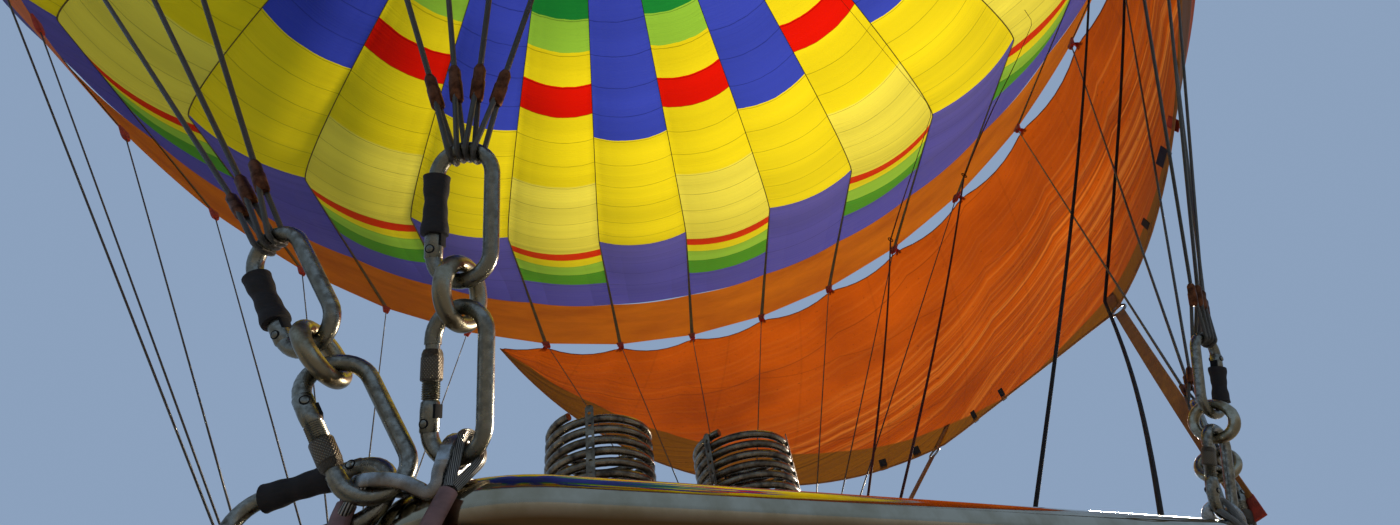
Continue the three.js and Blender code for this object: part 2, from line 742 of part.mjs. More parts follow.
const wallLoop = (inset, steps) => roundedRectangle(
  BASKET_WIDTH - 2 * inset,
  BASKET_DEPTH - 2 * inset,
  BASKET_CORNER - inset,
  steps,
);

function basketWalls() {
  const wall = plate(wallLoop(0, 4), FLOOR_TOP + GAP, WALL_TOP, [wallLoop(WALL, 4)]);
  const [stepWidth, stepHeight] = STEP_SIZE;
  const steps = [-1, 1].map((side) => (
    box(BASKET_WIDTH + 2 * WALL, stepWidth, stepHeight, 0, side * STEP_SPACING / 2, STEP_HEIGHT)));
  return cut(wall, steps);
}

function runners() {
  const low = FLOOR_TOP - FLOOR_THICK - GAP - RUNNER_HEIGHT;
  const high = FLOOR_TOP - FLOOR_THICK - GAP;
  const width = BASKET_WIDTH - 2 * RUNNER_INSET;
  const depth = BASKET_DEPTH - 2 * RUNNER_INSET;
  const bay = (width - 3 * RUNNER_WIDTH) / 2;
  const whole = box(width, depth, high - low, 0, 0, (low + high) / 2);
  return cut(whole, [-1, 1].map((side) => (
    box(bay, depth - 2 * RUNNER_WIDTH, 2 * RUNNER_HEIGHT, side * (bay + RUNNER_WIDTH) / 2, 0, low))));
}

// A padded rod from the basket's rim to the corner of the load frame, its ends cut level
function uprightShape(sx, sy) {
  const corner = (width, depth, bend) => {
    const round = bend * Math.SQRT1_2;
    return vec(sx * (width / 2 - bend + round), sy * (depth / 2 - bend + round), 0);
  };
  const low = corner(BASKET_WIDTH - WALL, BASKET_DEPTH - WALL, BASKET_CORNER - WALL / 2);
  const high = corner(FRAME_WIDTH, FRAME_DEPTH, FRAME_BEND);
  low.z = WALL_TOP + 2 * GAP + 2 * RIM_RADIUS;
  high.z = -FRAME_TUBE - GAP;
  const ring = (middle, radius) => circle(radius, ROUND_SIDES).map(({ at }) => at.clone().add(middle));
  return solidColumn(ring(low, UPRIGHT_RADIUS), ring(high, UPRIGHT_RADIUS), low, high);
}

function solidColumn(lowRing, highRing, low, high) {
  const count = lowRing.length;
  const points = [...lowRing, ...highRing, low, high];
  const index = [];
  for (let i = 0; i < count; i += 1) {
    const next = (i + 1) % count;
    index.push(i, next, count + next, i, count + next, count + i);
    index.push(2 * count, next, i, 2 * count + 1, count + i, count + next);
  }
  return facingOut(indexed(points, index));
}

function cylinderShape() {
  const low = FLOOR_TOP + GAP;
  const profile = CYLINDER_PROFILE.map(([radius, height]) => [
    radius * CYLINDER_RADIUS, low + height * CYLINDER_HEIGHT]);
  return turned(profile, CYLINDER_SIDES);
}

function basketFloor() {
  const [width, depth, height] = TREAD_SIZE;
  const board = plate(wallLoop(0, 4), FLOOR_TOP - FLOOR_THICK, FLOOR_TOP);
  const tread = box(width, depth, 2 * height, 0, 0, FLOOR_TOP);
  return joined([board, tread]);
}

// The balloon

const balloon = new THREE.Group();
balloon.position.z = -WIDEST_HEIGHT;

function add(name, geometry, material) {
  const mesh = new THREE.Mesh(geometry, material());
  mesh.name = name;
  balloon.add(mesh);
  return mesh;
}

const QUARTERS = ['back', 'right', 'front', 'left'];
const GORES_EACH = GORES / QUARTERS.length;
QUARTERS.forEach((side, quarter) => {
  const sheet = goreSheet(shellStations, quarter * GORES_EACH, GORES_EACH, 0, SHELL);
  add(`envelope_${side}`, sheet, yellowNylon);
});
add('mouth_band', goreSheet(bandStations, 0, GORES, 0, SHELL), bandFabric);
add('parachute_valve', parachute(), valveFabric);
add('crown_tapes', crown(), webbing);

CHAINS.forEach((chain) => {
  const { name, up, turns } = chain;
  const half = KARABINER_LENGTH / 2;
  const [lower, ring, upper] = turns.map((turn) => turnedWays(chain, turn));
  add(`wire_fan_${name}`, fanShape(chain), wireSteel);
  placed(add(`karabiner_upper_${name}`, karabinerShape(), steel),
    chainPoint(chain, UPPER_ALONG + half), upper[0], up, upper[1]);
  placed(add(`ring_${name}`, ringShape(), dullSteel),
    chainPoint(chain, RING_ALONG), ring[1], up, ring[0].negate());
  placed(add(`karabiner_lower_${name}`, karabinerShape(), steel),
    chainPoint(chain, half), lower[0], up, lower[1]);
});

const hangers = SCOOP_TAPES.map(scoopHanger);
add('scoop', joined([scoopShape(), scoopStrap(-1), scoopStrap(1), ...hangers]), orangeFabric);
add('load_frame', loadFrame(), steel);
add('gimbal_frame', gimbalFrame(), steel);
add('burner_block', burnerBlock(), brass);
[['left', -1], ['right', 1]].forEach(([name, side]) => {
  add(`burner_can_${name}`, canShape(), steel).position.x = side * BURNER_SPACING / 2;
  add(`burner_coil_${name}`, coilShape(), steel).position.x = side * BURNER_SPACING / 2;
});

add('basket_walls', basketWalls(), wicker);
const rim = loopTube(wallLoop(WALL / 2, 3), RIM_RADIUS, FRAME_SIDES);
add('basket_rim', rim, leather).position.z = WALL_TOP + GAP + RIM_RADIUS;
add('basket_floor', basketFloor(), plywood);
add('basket_runners', runners(), plywood);

const CORNER_NAMES = ['front_left', 'front_right', 'back_right', 'back_left'];
CORNERS.forEach(([sx, sy], corner) => {
  add(`upright_${CORNER_NAMES[corner]}`, uprightShape(sx, sy), leather);
  const cylinder = add(`fuel_cylinder_${CORNER_NAMES[corner]}`, cylinderShape(), coverFabric);
  const inset = WALL + CYLINDER_RADIUS + CYLINDER_CLEAR;
  cylinder.position.set(sx * (BASKET_WIDTH / 2 - inset), sy * (BASKET_DEPTH / 2 - inset), 0);
});

// A spare karabiner for the handling line, clipped round the rim of the front left tongue
const handlingWay = vec(...HANDLING_WAY).normalize();
const handlingFace = vec(0, 0, 1).cross(handlingWay).normalize()
  .applyAxisAngle(handlingWay, HANDLING_TURN * DEG);
const handlingAcross = handlingWay.clone().cross(handlingFace);
placed(add('handling_karabiner', karabinerShape(), steel),
  vec(...HANDLING_AT).addScaledVector(handlingWay, KARABINER_LENGTH / 2),
  handlingAcross, handlingWay, handlingFace);

export default balloon;
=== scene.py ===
"""Looks of a hot air balloon: envelope, scoop, rigging, burners and basket, in metres, around its frame."""

import logging
from bisect import bisect_right
from contextlib import contextmanager
from dataclasses import dataclass, field
from enum import Enum
from functools import partial
from math import acos, atan2, cos, exp, hypot, pi, radians, sin, sqrt
from typing import Callable, Iterator, Sequence

import bpy
from mathutils import Matrix, Vector, noise


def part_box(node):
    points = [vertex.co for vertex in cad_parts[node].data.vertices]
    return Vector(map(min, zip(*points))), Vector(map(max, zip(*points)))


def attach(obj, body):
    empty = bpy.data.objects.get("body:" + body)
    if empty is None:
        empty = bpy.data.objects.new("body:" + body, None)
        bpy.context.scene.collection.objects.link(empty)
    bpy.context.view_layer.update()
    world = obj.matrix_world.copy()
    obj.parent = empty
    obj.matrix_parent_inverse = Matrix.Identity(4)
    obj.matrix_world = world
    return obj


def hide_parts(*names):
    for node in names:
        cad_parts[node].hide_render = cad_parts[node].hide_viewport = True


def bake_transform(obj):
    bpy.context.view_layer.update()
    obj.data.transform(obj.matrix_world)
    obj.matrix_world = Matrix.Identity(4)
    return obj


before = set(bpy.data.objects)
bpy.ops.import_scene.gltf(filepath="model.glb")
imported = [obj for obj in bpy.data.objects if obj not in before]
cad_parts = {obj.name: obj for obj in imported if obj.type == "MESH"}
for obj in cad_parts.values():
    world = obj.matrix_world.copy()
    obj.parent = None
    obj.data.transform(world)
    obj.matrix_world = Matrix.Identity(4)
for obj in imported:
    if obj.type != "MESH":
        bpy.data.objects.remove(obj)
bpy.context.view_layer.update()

LOG = logging.getLogger("balloon")
Piece = bpy.types.Object
AddNode = Callable[..., bpy.types.Node]
Line = Sequence[Vector]
X, Y, Z = Vector((1, 0, 0)), Vector((0, 1, 0)), Vector((0, 0, 1))

# Heights below are measured from the axis of the load frame's tube
FRAME_TUBE = 0.025
FRAME_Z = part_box("load_frame")[0].z + FRAME_TUBE

# Envelope: a cone from the mouth, a round shoulder and a flattened dome
GORES = 28
GORE_ANGLE = 2 * pi / GORES
FIRST_TAPE = radians(135)
MOUTH_RADIUS = 2.078
MOUTH_HEIGHT = 2.301
CONE_ANGLE = radians(40)
CONE_OUT = sin(CONE_ANGLE)
CONE_UP = cos(CONE_ANGLE)
CONE_LENGTH = 10.2
SHOULDER_RADIUS = 6.4
DOME_HEIGHT = 8.4
BAND_WIDTH = 1.64
# Seams between panels, in metres from the mouth along the cloth
SEAMS = (0.0, BAND_WIDTH, 3.1, 4.55, 5.95, 7.25, 8.7, 9.7, 10.7, 11.7, 12.7, 13.65, 14.6, 15.55, 16.5, 17.45,
         18.45, 19.5, 20.6, 21.7, 22.9, 24.1, 25.4, 26.9, 28.4, 29.9)
VENT_RADIUS = 2.6
VALVE_RADIUS = 2.9
CROWN_RING_RADIUS = 0.25

# Load frame, and where its chains start: in from its width and its depth, and the height
FRAME_WIDTH = 1.07
FRAME_DEPTH = 1.26
FRAME_BEND = 0.12
END_EYE = (0.045, 0.0, 0.035)
SIDE_EYE = (0.003, 0.015, 0.014)
KARABINER_LENGTH = 0.115
KARABINER_BOW = 0.0235
KARABINER_STOCK = 0.0065
RING_RADIUS = 0.0245
RING_STOCK = 0.007
LINK_SEAT = 0.0104
RING_ALONG = KARABINER_LENGTH + LINK_SEAT
UPPER_ALONG = RING_ALONG + LINK_SEAT
WIRE_RADIUS = 0.0025

# Basket
BASKET_WIDTH = 1.24
BASKET_DEPTH = 1.44
BASKET_CORNER = 0.12
WALL = 0.03
FLOOR_TOP = -1.95
FLOOR_THICK = 0.018
WALL_TOP = -0.885
RIM_RADIUS = 0.035


class Body(Enum):
    """The bodies of the frame that pieces ride on."""

    BALLOON = "balloon"
    VALVE = "valve"
    GIMBAL = "gimbal"
    BURNERS = "burners"


class Gate(Enum):
    """What covers the gate of a karabiner."""

    TAPED = "taped"
    SCREWED = "screwed"


def at(x: float, y: float, z: float) -> Vector:
    """A point with its height measured from the load frame's axis."""
    return Vector((x, y, z + FRAME_Z))


def gore_way(gore: float) -> Vector:
    """The level way outwards at a place that counts gores from the first tape."""
    angle = FIRST_TAPE - gore * GORE_ANGLE
    return Vector((cos(angle), sin(angle), 0))


def at_gore(gore: float, reach: float, height: float) -> Vector:
    """A point at a place that counts gores, with its distance from the balloon's axis."""
    angle = FIRST_TAPE - gore * GORE_ANGLE
    return at(reach * cos(angle), reach * sin(angle), height)


def across_gore(gore: float) -> float:
    """Where a place lies between its two tapes, from -1 to 1."""
    return 2 * (gore % 1) - 1


# Node tools


def linear(colour: str) -> tuple[float, float, float, float]:
    """Turns an sRGB hex value to a linear colour.

    Args:
        colour: Such as "#3a48b4".

    Returns:
        Red, green, blue and alpha.
    """
    shares = [int(colour[i : i + 2], 16) / 255 for i in (1, 3, 5)]
    bent = [s / 12.92 if s <= 0.04045 else ((s + 0.055) / 1.055) ** 2.4 for s in shares]
    return (*bent, 1.0)


def add_node(tree: bpy.types.NodeTree, kind: str, inputs: dict | None = None, stops: Sequence = (),
             **settings: object) -> bpy.types.Node:
    """Adds a node with its settings and links.

    Args:
        tree: The node tree that takes the node.
        kind: The node's type, without the words ShaderNode in front.
        inputs: Sockets by name or number, each with a node, a socket, a hex colour or a value.
        stops: Positions and hex colours or grey values, for a colour ramp.
        settings: Properties of the node.

    Returns:
        The new node.
    """
    node = tree.nodes.new("ShaderNode" + kind)
    for name, value in settings.items():
        setattr(node, name, value)
    for place, (position, colour) in enumerate(stops):
        elements = node.color_ramp.elements
        stop = elements[place] if place < 2 else elements.new(position)
        stop.position = position
        stop.color = linear(colour) if isinstance(colour, str) else (colour, colour, colour, 1.0)
    for key, value in (inputs or {}).items():
        if isinstance(value, bpy.types.Node):
            value = value.outputs[0]
        if isinstance(value, bpy.types.NodeSocket):
            tree.links.new(value, node.inputs[key])
        else:
            node.inputs[key].default_value = linear(value) if isinstance(value, str) else value
    return node


def lit_cloth(add: AddNode, lit: float, inputs: dict) -> bpy.types.Node:
    """Cloth that also lets through a share of the light behind it.

    Args:
        add: Adds a node to the finish's tree.
        lit: The share of light from behind, or nothing for thick cloth.
        inputs: What the cloth's own shader takes, with its colour and relief.

    Returns:
        The shader.
    """
    front = add("BsdfPrincipled", inputs)
    if not lit:
        return front
    through = add("BsdfTranslucent", {"Color": inputs["Base Color"], "Normal": inputs["Normal"]})
    return add("MixShader", {0: lit, 1: front, 2: through})


def cycles_per_metre(size_mm: float) -> float:
    """The scale of a texture whose features are size_mm across."""
    return 1000 / size_mm


# Finishes


@dataclass(frozen=True)
class Finish:
    """A surface finish, made into a material once and shared by all pieces that wear it."""

    name: str

    def material(self) -> bpy.types.Material:
        """The material of this finish."""
        found = bpy.data.materials.get(self.name)
        if found:
            return found
        made = bpy.data.materials.new(self.name)
        made.use_nodes = True
        made.node_tree.nodes.clear()
        add = partial(add_node, made.node_tree)
        add("OutputMaterial", {"Surface": self.surface(add)})
        return made

    def surface(self, add: AddNode) -> bpy.types.Node:
        """The shader of this finish."""
        raise NotImplementedError


@dataclass(frozen=True)
class WornMetal(Finish):
    """Metal with dull patches, fine scratches and small pits that long use leaves."""

    clean: str
    worn: str
    smooth: float
    rough: float
    patch_mm: float
    pit_mm: float
    pit_depth: float
    # Colour where the metal faces down: painted shade and a painted reflection of the dark ground below
    under: str = ""

    def surface(self, add: AddNode) -> bpy.types.Node:
        """Patches turn the colour and the roughness, and pits the relief. What faces down is browner: painted
        shade and a painted reflection of the dark ground below.
        """
        place = add("TexCoord").outputs["Object"]
        patches = add("TexNoise", {
            "Vector": place, "Scale": cycles_per_metre(self.patch_mm), "Detail": 6.0, "Roughness": 0.62})
        share = add("ValToRGB", {0: patches}, stops=((0.38, 0.0), (0.68, 1.0)))
        colour = add("Mix", {0: share, 6: self.clean, 7: self.worn}, data_type="RGBA")
        # Painted shade and reflection: what faces down turns towards the under colour
        if self.under:
            turn = add("SeparateXYZ", {0: add("NewGeometry").outputs["Normal"]})
            low = add("MapRange", {0: turn.outputs[2], 1: -0.6, 2: -0.1, 3: 1.0, 4: 0.0})
            colour = add("Mix", {0: low, 6: colour.outputs[2], 7: self.under}, data_type="RGBA")
        roughness = add("MapRange", {0: share, 3: self.smooth, 4: self.rough})
        pits = add("TexNoise", {"Vector": place, "Scale": cycles_per_metre(self.pit_mm), "Detail": 3.0})
        relief = add("Bump", {"Height": pits, "Strength": 0.5, "Distance": self.pit_depth})
        return add("BsdfPrincipled", {
            "Base Color": colour.outputs[2], "Metallic": 1.0, "Roughness": roughness, "Normal": relief})


@dataclass(frozen=True)
class KnurledSteel(Finish):
    """Plated steel with a crossed knurl, cut in by a pair of rollers."""

    clean: str
    groove: str
    pitch: float

    def surface(self, add: AddNode) -> bpy.types.Node:
        """Two sets of slanting grooves around the piece, from its own map."""
        axes = add("SeparateXYZ", {0: add("UVMap", uv_map="UVMap")})
        turns = add("Math", {0: axes.outputs[0], 1: 2 * pi * 40}, operation="MULTIPLY")
        rows = add("Math", {0: axes.outputs[1], 1: 2 * pi / self.pitch}, operation="MULTIPLY")
        waves = []
        for way in ("ADD", "SUBTRACT"):
            phase = add("Math", {0: turns, 1: rows}, operation=way)
            waves.append(add("Math", {0: phase}, operation="SINE"))
        height = add("Math", {0: waves[0], 1: waves[1]}, operation="MINIMUM")
        share = add("MapRange", {0: height, 1: -1.0, 2: 0.6})
        colour = add("Mix", {0: share, 6: self.groove, 7: self.clean}, data_type="RGBA")
        relief = add("Bump", {"Height": share, "Strength": 0.9, "Distance": 0.0006})
        return add("BsdfPrincipled", {
            "Base Color": colour.outputs[2], "Metallic": 1.0, "Roughness": 0.42, "Normal": relief})


@dataclass(frozen=True)
class TwistedRope(Finish):
    """Strands laid round each other, with dark grooves between them."""

    light: str
    dark: str
    strands: int
    lay: float
    metallic: float
    roughness: float

    def surface(self, add: AddNode) -> bpy.types.Node:
        """The strands are waves that wind round the piece's own map."""
        axes = add("SeparateXYZ", {0: add("UVMap", uv_map="UVMap")})
        wound = add("Math", {0: axes.outputs[1], 1: 1 / self.lay}, operation="MULTIPLY")
        turn = add("Math", {0: wound, 1: axes.outputs[0]}, operation="ADD")
        phase = add("Math", {0: turn, 1: pi * self.strands}, operation="MULTIPLY")
        wave = add("Math", {0: phase}, operation="SINE")
        crown = add("Math", {0: wave}, operation="ABSOLUTE")
        share = add("ValToRGB", {0: crown}, stops=((0.25, 0.0), (0.8, 1.0)))
        colour = add("Mix", {0: share, 6: self.dark, 7: self.light}, data_type="RGBA")
        relief = add("Bump", {"Height": crown, "Strength": 1.0, "Distance": 0.0012})
        return add("BsdfPrincipled", {
            "Base Color": colour.outputs[2], "Metallic": self.metallic,
            "Roughness": self.roughness, "Normal": relief})


@dataclass(frozen=True)
class GoreNylon(Finish):
    """Coated ripstop nylon in panels of plain colours, lit through by the sky behind it.

    The map of the piece counts gores across and panels along them.
    """

    bands: tuple[tuple[float, str], ...]
    lit: float = 0.62
    panels: float = 30.0
    seam: float = 0.018

    def surface(self, add: AddNode) -> bpy.types.Node:
        """Panel colours, seams between panels, and folds that gather at the tapes."""
        place = add("UVMap", uv_map="Gore")
        axes = add("SeparateXYZ", {0: place})
        across, along = axes.outputs[0], axes.outputs[1]
        wobble = add("TexNoise", {"Vector": place, "Scale": 5.0, "Detail": 2.0})
        shifted = add("MapRange", {0: wobble, 3: -0.03, 4: 0.03})
        uneven = add("Math", {0: along, 1: shifted}, operation="ADD")
        share = add("Math", {0: uneven, 1: 1 / self.panels}, operation="MULTIPLY")
        stops = [(panel / self.panels, colour) for panel, colour in self.bands]
        plain = add("ValToRGB", {0: share}, stops=stops)
        plain.color_ramp.interpolation = "CONSTANT"

        # A dark seam at each panel's edge, and each panel takes the light a little differently
        edge = add("Math", {0: uneven, 1: 0.5}, operation="PINGPONG")
        line = add("MapRange", {0: edge, 1: 0.0, 2: self.seam, 3: 0.42, 4: 1.0})
        cells = add("CombineXYZ", {0: add("Math", {0: across}, operation="FLOOR"), 1: along})
        shade = add("TexNoise", {"Vector": cells, "Scale": 0.8, "Detail": 3.0})
        level = add("MapRange", {0: shade, 1: 0.3, 2: 0.7, 3: 0.84, 4: 1.06})
        colour = plain
        for factor in (line, level):
            colour = add("Mix", {0: 1.0, 6: colour, 7: factor},
                              data_type="RGBA", blend_type="MULTIPLY").outputs[2]

        # Short folds run across the gore where the tapes gather it
        local = add("Math", {0: across, 1: 0.5}, operation="PINGPONG")
        near = add("MapRange", {0: local, 1: 0.0, 2: 0.22, 3: 1.0, 4: 0.0})
        folds = add("TexNoise", {
            "Vector": add("Mapping", {"Vector": place, "Scale": (1.5, 6.0, 1.0)}),
            "Scale": 1.0, "Detail": 3.0, "Distortion": 0.3})
        gathered = add("Math", {0: folds, 1: near}, operation="MULTIPLY")
        wrinkles = add("TexNoise", {
            "Vector": add("Mapping", {"Vector": place, "Scale": (0.8, 14.0, 1.0)}), "Scale": 1.0})
        gathered = add("Math", {0: wrinkles, 1: 0.3, 2: gathered}, operation="MULTIPLY_ADD")
        relief = add("Bump", {"Height": gathered, "Strength": 0.8, "Distance": 0.06})
        return lit_cloth(add, self.lit, {
            "Base Color": colour, "Roughness": 0.5, "Specular IOR Level": 0.25, "Normal": relief})


@dataclass(frozen=True)
class WovenCloth(Finish):
    """A plain woven cloth: threads, faint stains and, if thin, light from behind."""

    warp: str
    weft: str
    thread_mm: float
    stain_mm: float
    lit: float
    roughness: float = 0.8
    depth: float = 0.0004

    def surface(self, add: AddNode) -> bpy.types.Node:
        """Crossed threads in relief under broad changes of colour."""
        place = add("TexCoord").outputs["Object"]
        stains = add("TexNoise", {
            "Vector": place, "Scale": cycles_per_metre(self.stain_mm), "Detail": 5.0, "Roughness": 0.6})
        share = add("MapRange", {0: stains, 1: 0.32, 2: 0.68})
        colour = add("Mix", {0: share, 6: self.warp, 7: self.weft}, data_type="RGBA")
        axes = add("SeparateXYZ", {0: place})
        level = add("Math", {0: axes.outputs[0], 1: axes.outputs[1]}, operation="ADD")
        turns = 2 * pi * cycles_per_metre(2 * self.thread_mm)
        threads = []
        for socket in (level.outputs[0], axes.outputs[2]):
            phase = add("Math", {0: socket, 1: turns}, operation="MULTIPLY")
            threads.append(add("Math", {0: phase}, operation="SINE"))
        weave = add("Math", {0: threads[0], 1: threads[1]}, operation="MULTIPLY")
        relief = add("Bump", {"Height": weave, "Strength": 0.5, "Distance": self.depth})
        return lit_cloth(add, self.lit, {
            "Base Color": colour.outputs[2], "Roughness": self.roughness,
            "Sheen Weight": 0.05, "Normal": relief})


@dataclass(frozen=True)
class ScoopCloth(Finish):
    """Flame resistant cloth, sewn from widths, with a browner facing along its free edge."""

    cloth: str
    deep: str
    # Colour of the painted highlight on the crests of the folds
    painted_highlight: str
    facing: str
    seams: float
    lit: float
    slope: float = 0.79
    widen: float = 0.35

    def surface(self, add: AddNode) -> bpy.types.Node:
        """Widths of cloth with dark seams, from a map of way and depth, and pulled folds whose crests carry a
        painted highlight.
        """
        axes = add("SeparateXYZ", {0: add("UVMap", uv_map="Scoop")})
        way, down = axes.outputs[0], axes.outputs[1]
        place = add("TexCoord").outputs["Object"]
        stains = add("TexNoise", {
            "Vector": place, "Scale": cycles_per_metre(420), "Detail": 4.0, "Roughness": 0.5})
        share = add("MapRange", {0: stains, 1: 0.3, 2: 0.7})
        colour = add("Mix", {0: share, 6: self.cloth, 7: self.deep}, data_type="RGBA")

        # Folds run along lines of one slant, closest where the sheet is pulled tight
        slant = add("Math", {0: way, 1: -self.slope, 2: down}, operation="MULTIPLY_ADD")
        pulled = add("TexNoise", {
            "Vector": add("Mapping", {
                "Vector": add("CombineXYZ", {0: way, 1: slant}), "Scale": (1.6, 40.0, 1.0)}),
            "Scale": 1.0, "Detail": 4.0})
        apart = add("Math", {0: slant, 1: 0.72}, operation="SUBTRACT")
        far = add("Math", {0: apart}, operation="ABSOLUTE")
        tight = add("MapRange", {0: far, 1: 0.1, 2: 0.42, 3: 1.0, 4: 0.15})
        # Painted highlight: the crests of the folds turn lighter, as if lit through from behind
        highlight_share = add("MapRange", {0: pulled, 1: 0.5, 2: 0.72})
        highlight_share = add("Math", {0: highlight_share, 1: tight}, operation="MULTIPLY")
        colour = add("Mix", {0: highlight_share, 6: colour.outputs[2], 7: self.painted_highlight}, data_type="RGBA")

        # The facing widens from the low corners up the free edge
        reach = add("Math", {0: way}, operation="ABSOLUTE")
        rise = add("Math", {0: reach, 1: self.widen, 2: down}, operation="MULTIPLY_ADD")
        corner = 0.94 + 0.2 * self.widen
        edge = add("MapRange", {0: rise, 1: corner, 2: corner + 0.006})
        colour = add("Mix", {0: edge, 6: colour.outputs[2], 7: self.facing}, data_type="RGBA")

        # Seams down the sheet and one across it, a dark line along the slant of the folds, and small dark
        # specks
        fine = add("TexNoise", {"Vector": place, "Scale": cycles_per_metre(22), "Detail": 4.0})
        darker = [add("MapRange", {0: fine, 1: 0.66, 2: 0.74, 3: 1.0, 4: 0.6})]
        for socket, spacing, width, depth in (
                (way, self.seams, 0.003, 0.12), (down, 0.42, 0.004, 0.3),
                (slant.outputs[0], 0.61, 0.004, 0.45)):
            moved = add("Math", {0: socket, 1: spacing / 2}, operation="ADD")
            from_line = add("Math", {0: moved, 1: spacing / 2}, operation="PINGPONG")
            centred = add("Math", {0: spacing / 2, 1: from_line}, operation="SUBTRACT")
            darker.append(add("MapRange", {0: centred, 1: 0.0, 2: width, 3: 1 - depth, 4: 1.0}))
        for line in darker:
            colour = add("Mix", {0: 1.0, 6: colour.outputs[2], 7: line},
                              data_type="RGBA", blend_type="MULTIPLY")
        height = add("Math", {0: pulled, 1: tight}, operation="MULTIPLY")
        height = add("Math", {0: fine, 1: 0.12, 2: height}, operation="MULTIPLY_ADD")
        relief = add("Bump", {"Height": height, "Strength": 0.7, "Distance": 0.03})
        return lit_cloth(add, self.lit, {
            "Base Color": colour.outputs[2], "Roughness": 0.75, "Sheen Weight": 0.1, "Normal": relief})


@dataclass(frozen=True)
class Grained(Finish):
    """A natural surface, such as leather, cane or wood, with grain that runs in one direction."""

    light: str
    dark: str
    grain_mm: tuple[float, float, float]
    depth: float
    roughness: float
    cells: bool = False

    def surface(self, add: AddNode) -> bpy.types.Node:
        """Stretched noise for fibres, or cells for the creases of leather."""
        place = add("TexCoord").outputs["Object"]
        scaled = add("Mapping", {
            "Vector": place, "Scale": tuple(cycles_per_metre(size) for size in self.grain_mm)})
        grain = add("TexNoise", {"Vector": scaled, "Scale": 1.0, "Detail": 5.0, "Roughness": 0.6})
        share = add("MapRange", {0: grain, 1: 0.3, 2: 0.7})
        height = share
        if self.cells:
            height = add("TexVoronoi", {"Vector": scaled, "Scale": 1.0}, feature="F1")
            handled = add("TexNoise", {"Vector": place, "Scale": cycles_per_metre(90), "Detail": 4.0})
            share = add("MapRange", {0: handled, 1: 0.35, 2: 0.65})
        colour = add("Mix", {0: share, 6: self.dark, 7: self.light}, data_type="RGBA")
        relief = add("Bump", {"Height": height, "Strength": 0.6, "Distance": self.depth})
        return add("BsdfPrincipled", {
            "Base Color": colour.outputs[2], "Roughness": self.roughness, "Normal": relief})


# Stainless tube, bent and polished: a mirror with soft smears, brown below as a painted reflection of the
# dark ground
POLISHED_STAINLESS = WornMetal(
    "polished_stainless_tube", "#b4ac96", "#948a70", 0.05, 0.15, 60, 2.5, 0.00004, "#574228")
# Zinc plated steel, forged and tumbled: grey brown, rubbed bright in places and pitted; darker below as
# painted shade and reflection of the ground
KARABINER_STEEL = WornMetal("zinc_plated_steel", "#98968a", "#4e4a40", 0.2, 0.46, 7, 1.0, 0.0003, "#6e6a5a")
# Steel ring, bent and welded: the plating has yellowed; browner below as painted shade and reflection of the
# ground
RING_STEEL = WornMetal("yellowed_plated_steel", "#aaa48e", "#6e6044", 0.24, 0.45, 12, 1.3, 0.0002, "#7a7058")
# Steel plate, cut and bent, with rounded edges rubbed by the links, and a dark underside that is painted
# shade and reflection of the ground
PLATE_STEEL = WornMetal("bent_steel_plate", "#a6abab", "#6a665c", 0.2, 0.42, 14, 1.5, 0.0002, "#66594a")
# Copper ferrule, pressed on the wire: brown with a few bright places
COPPER = WornMetal("pressed_copper", "#70442c", "#3c2418", 0.4, 0.65, 8, 1.4, 0.0002)
# Stainless coil in the flame: blued and browned by heat
COIL_STEEL = WornMetal("heat_blued_stainless", "#8a7e6a", "#3c3630", 0.2, 0.45, 22, 2.0, 0.0002)
# Brass valve bodies, turned
BRASS = WornMetal("turned_brass", "#b08d4a", "#7d6232", 0.25, 0.45, 18, 1.6, 0.0001)
KNURL = KnurledSteel("knurled_plated_steel", "#847a68", "#544c40", 0.0011)
# Wire rope of fine steel wires: the strands are drawn a little coarse so that they show
SLING_ROPE = TwistedRope("sling_wire_rope", "#9a958a", "#100e0c", 7, 0.040, 0.9, 0.4)
WIRE_ROPE = TwistedRope("steel_wire_rope", "#7e7a70", "#34302a", 6, 0.030, 0.9, 0.45)
BLACK_LINE = TwistedRope("black_braided_line", "#201c1c", "#0a0909", 5, 0.035, 0.0, 0.75)
RED_LINE = TwistedRope("dark_red_braided_line", "#5e1410", "#2a0806", 5, 0.035, 0.0, 0.75)

# Cloth: nylon panels, the heat proof band, and covers
BLUE, LOW_BLUE, YELLOW, PALE_YELLOW, RED = "#3a48b4", "#5450a8", "#f0da18", "#eee04c", "#dc1404"
DARK_GREEN, LIGHT_GREEN, TOP_GREEN = "#4b9a24", "#96c83c", "#1c8434"
# Each colour starts at a panel's lower seam, and panels count from the mouth band
RAINBOW_GORE = GoreNylon("ripstop_nylon_rainbow_gore", (
    (0, LOW_BLUE), (2, DARK_GREEN), (3, LIGHT_GREEN), (4, YELLOW), (5, RED), (6, PALE_YELLOW),
    (12, YELLOW), (15, RED), (16, YELLOW), (17, LIGHT_GREEN), (18, TOP_GREEN), (19, BLUE)))
BLUE_GORE = GoreNylon("ripstop_nylon_blue_gore", ((0, LOW_BLUE), (8, YELLOW), (14, BLUE)))
VALVE_NYLON = WovenCloth("ripstop_nylon_valve", "#3a48a8", "#4c5cc0", 5, 900, 0.5, 0.5)
BAND_CLOTH = WovenCloth("heat_proof_band_cloth", "#de780c", "#be5e0a", 3, 500, 0.5)
TAPE_WEBBING = WovenCloth("khaki_tape_webbing", "#6e6030", "#4c4424", 2, 300, 0.0)
RED_WEBBING = WovenCloth("red_webbing", "#c43a16", "#7c220e", 2, 30, 0.0)
TAN_WEBBING = WovenCloth("tan_strap_webbing", "#b06a18", "#7c4410", 2, 60, 0.0)
COVER_CLOTH = WovenCloth("padded_cover_canvas", "#3a3c44", "#24252a", 1.6, 160, 0.0)
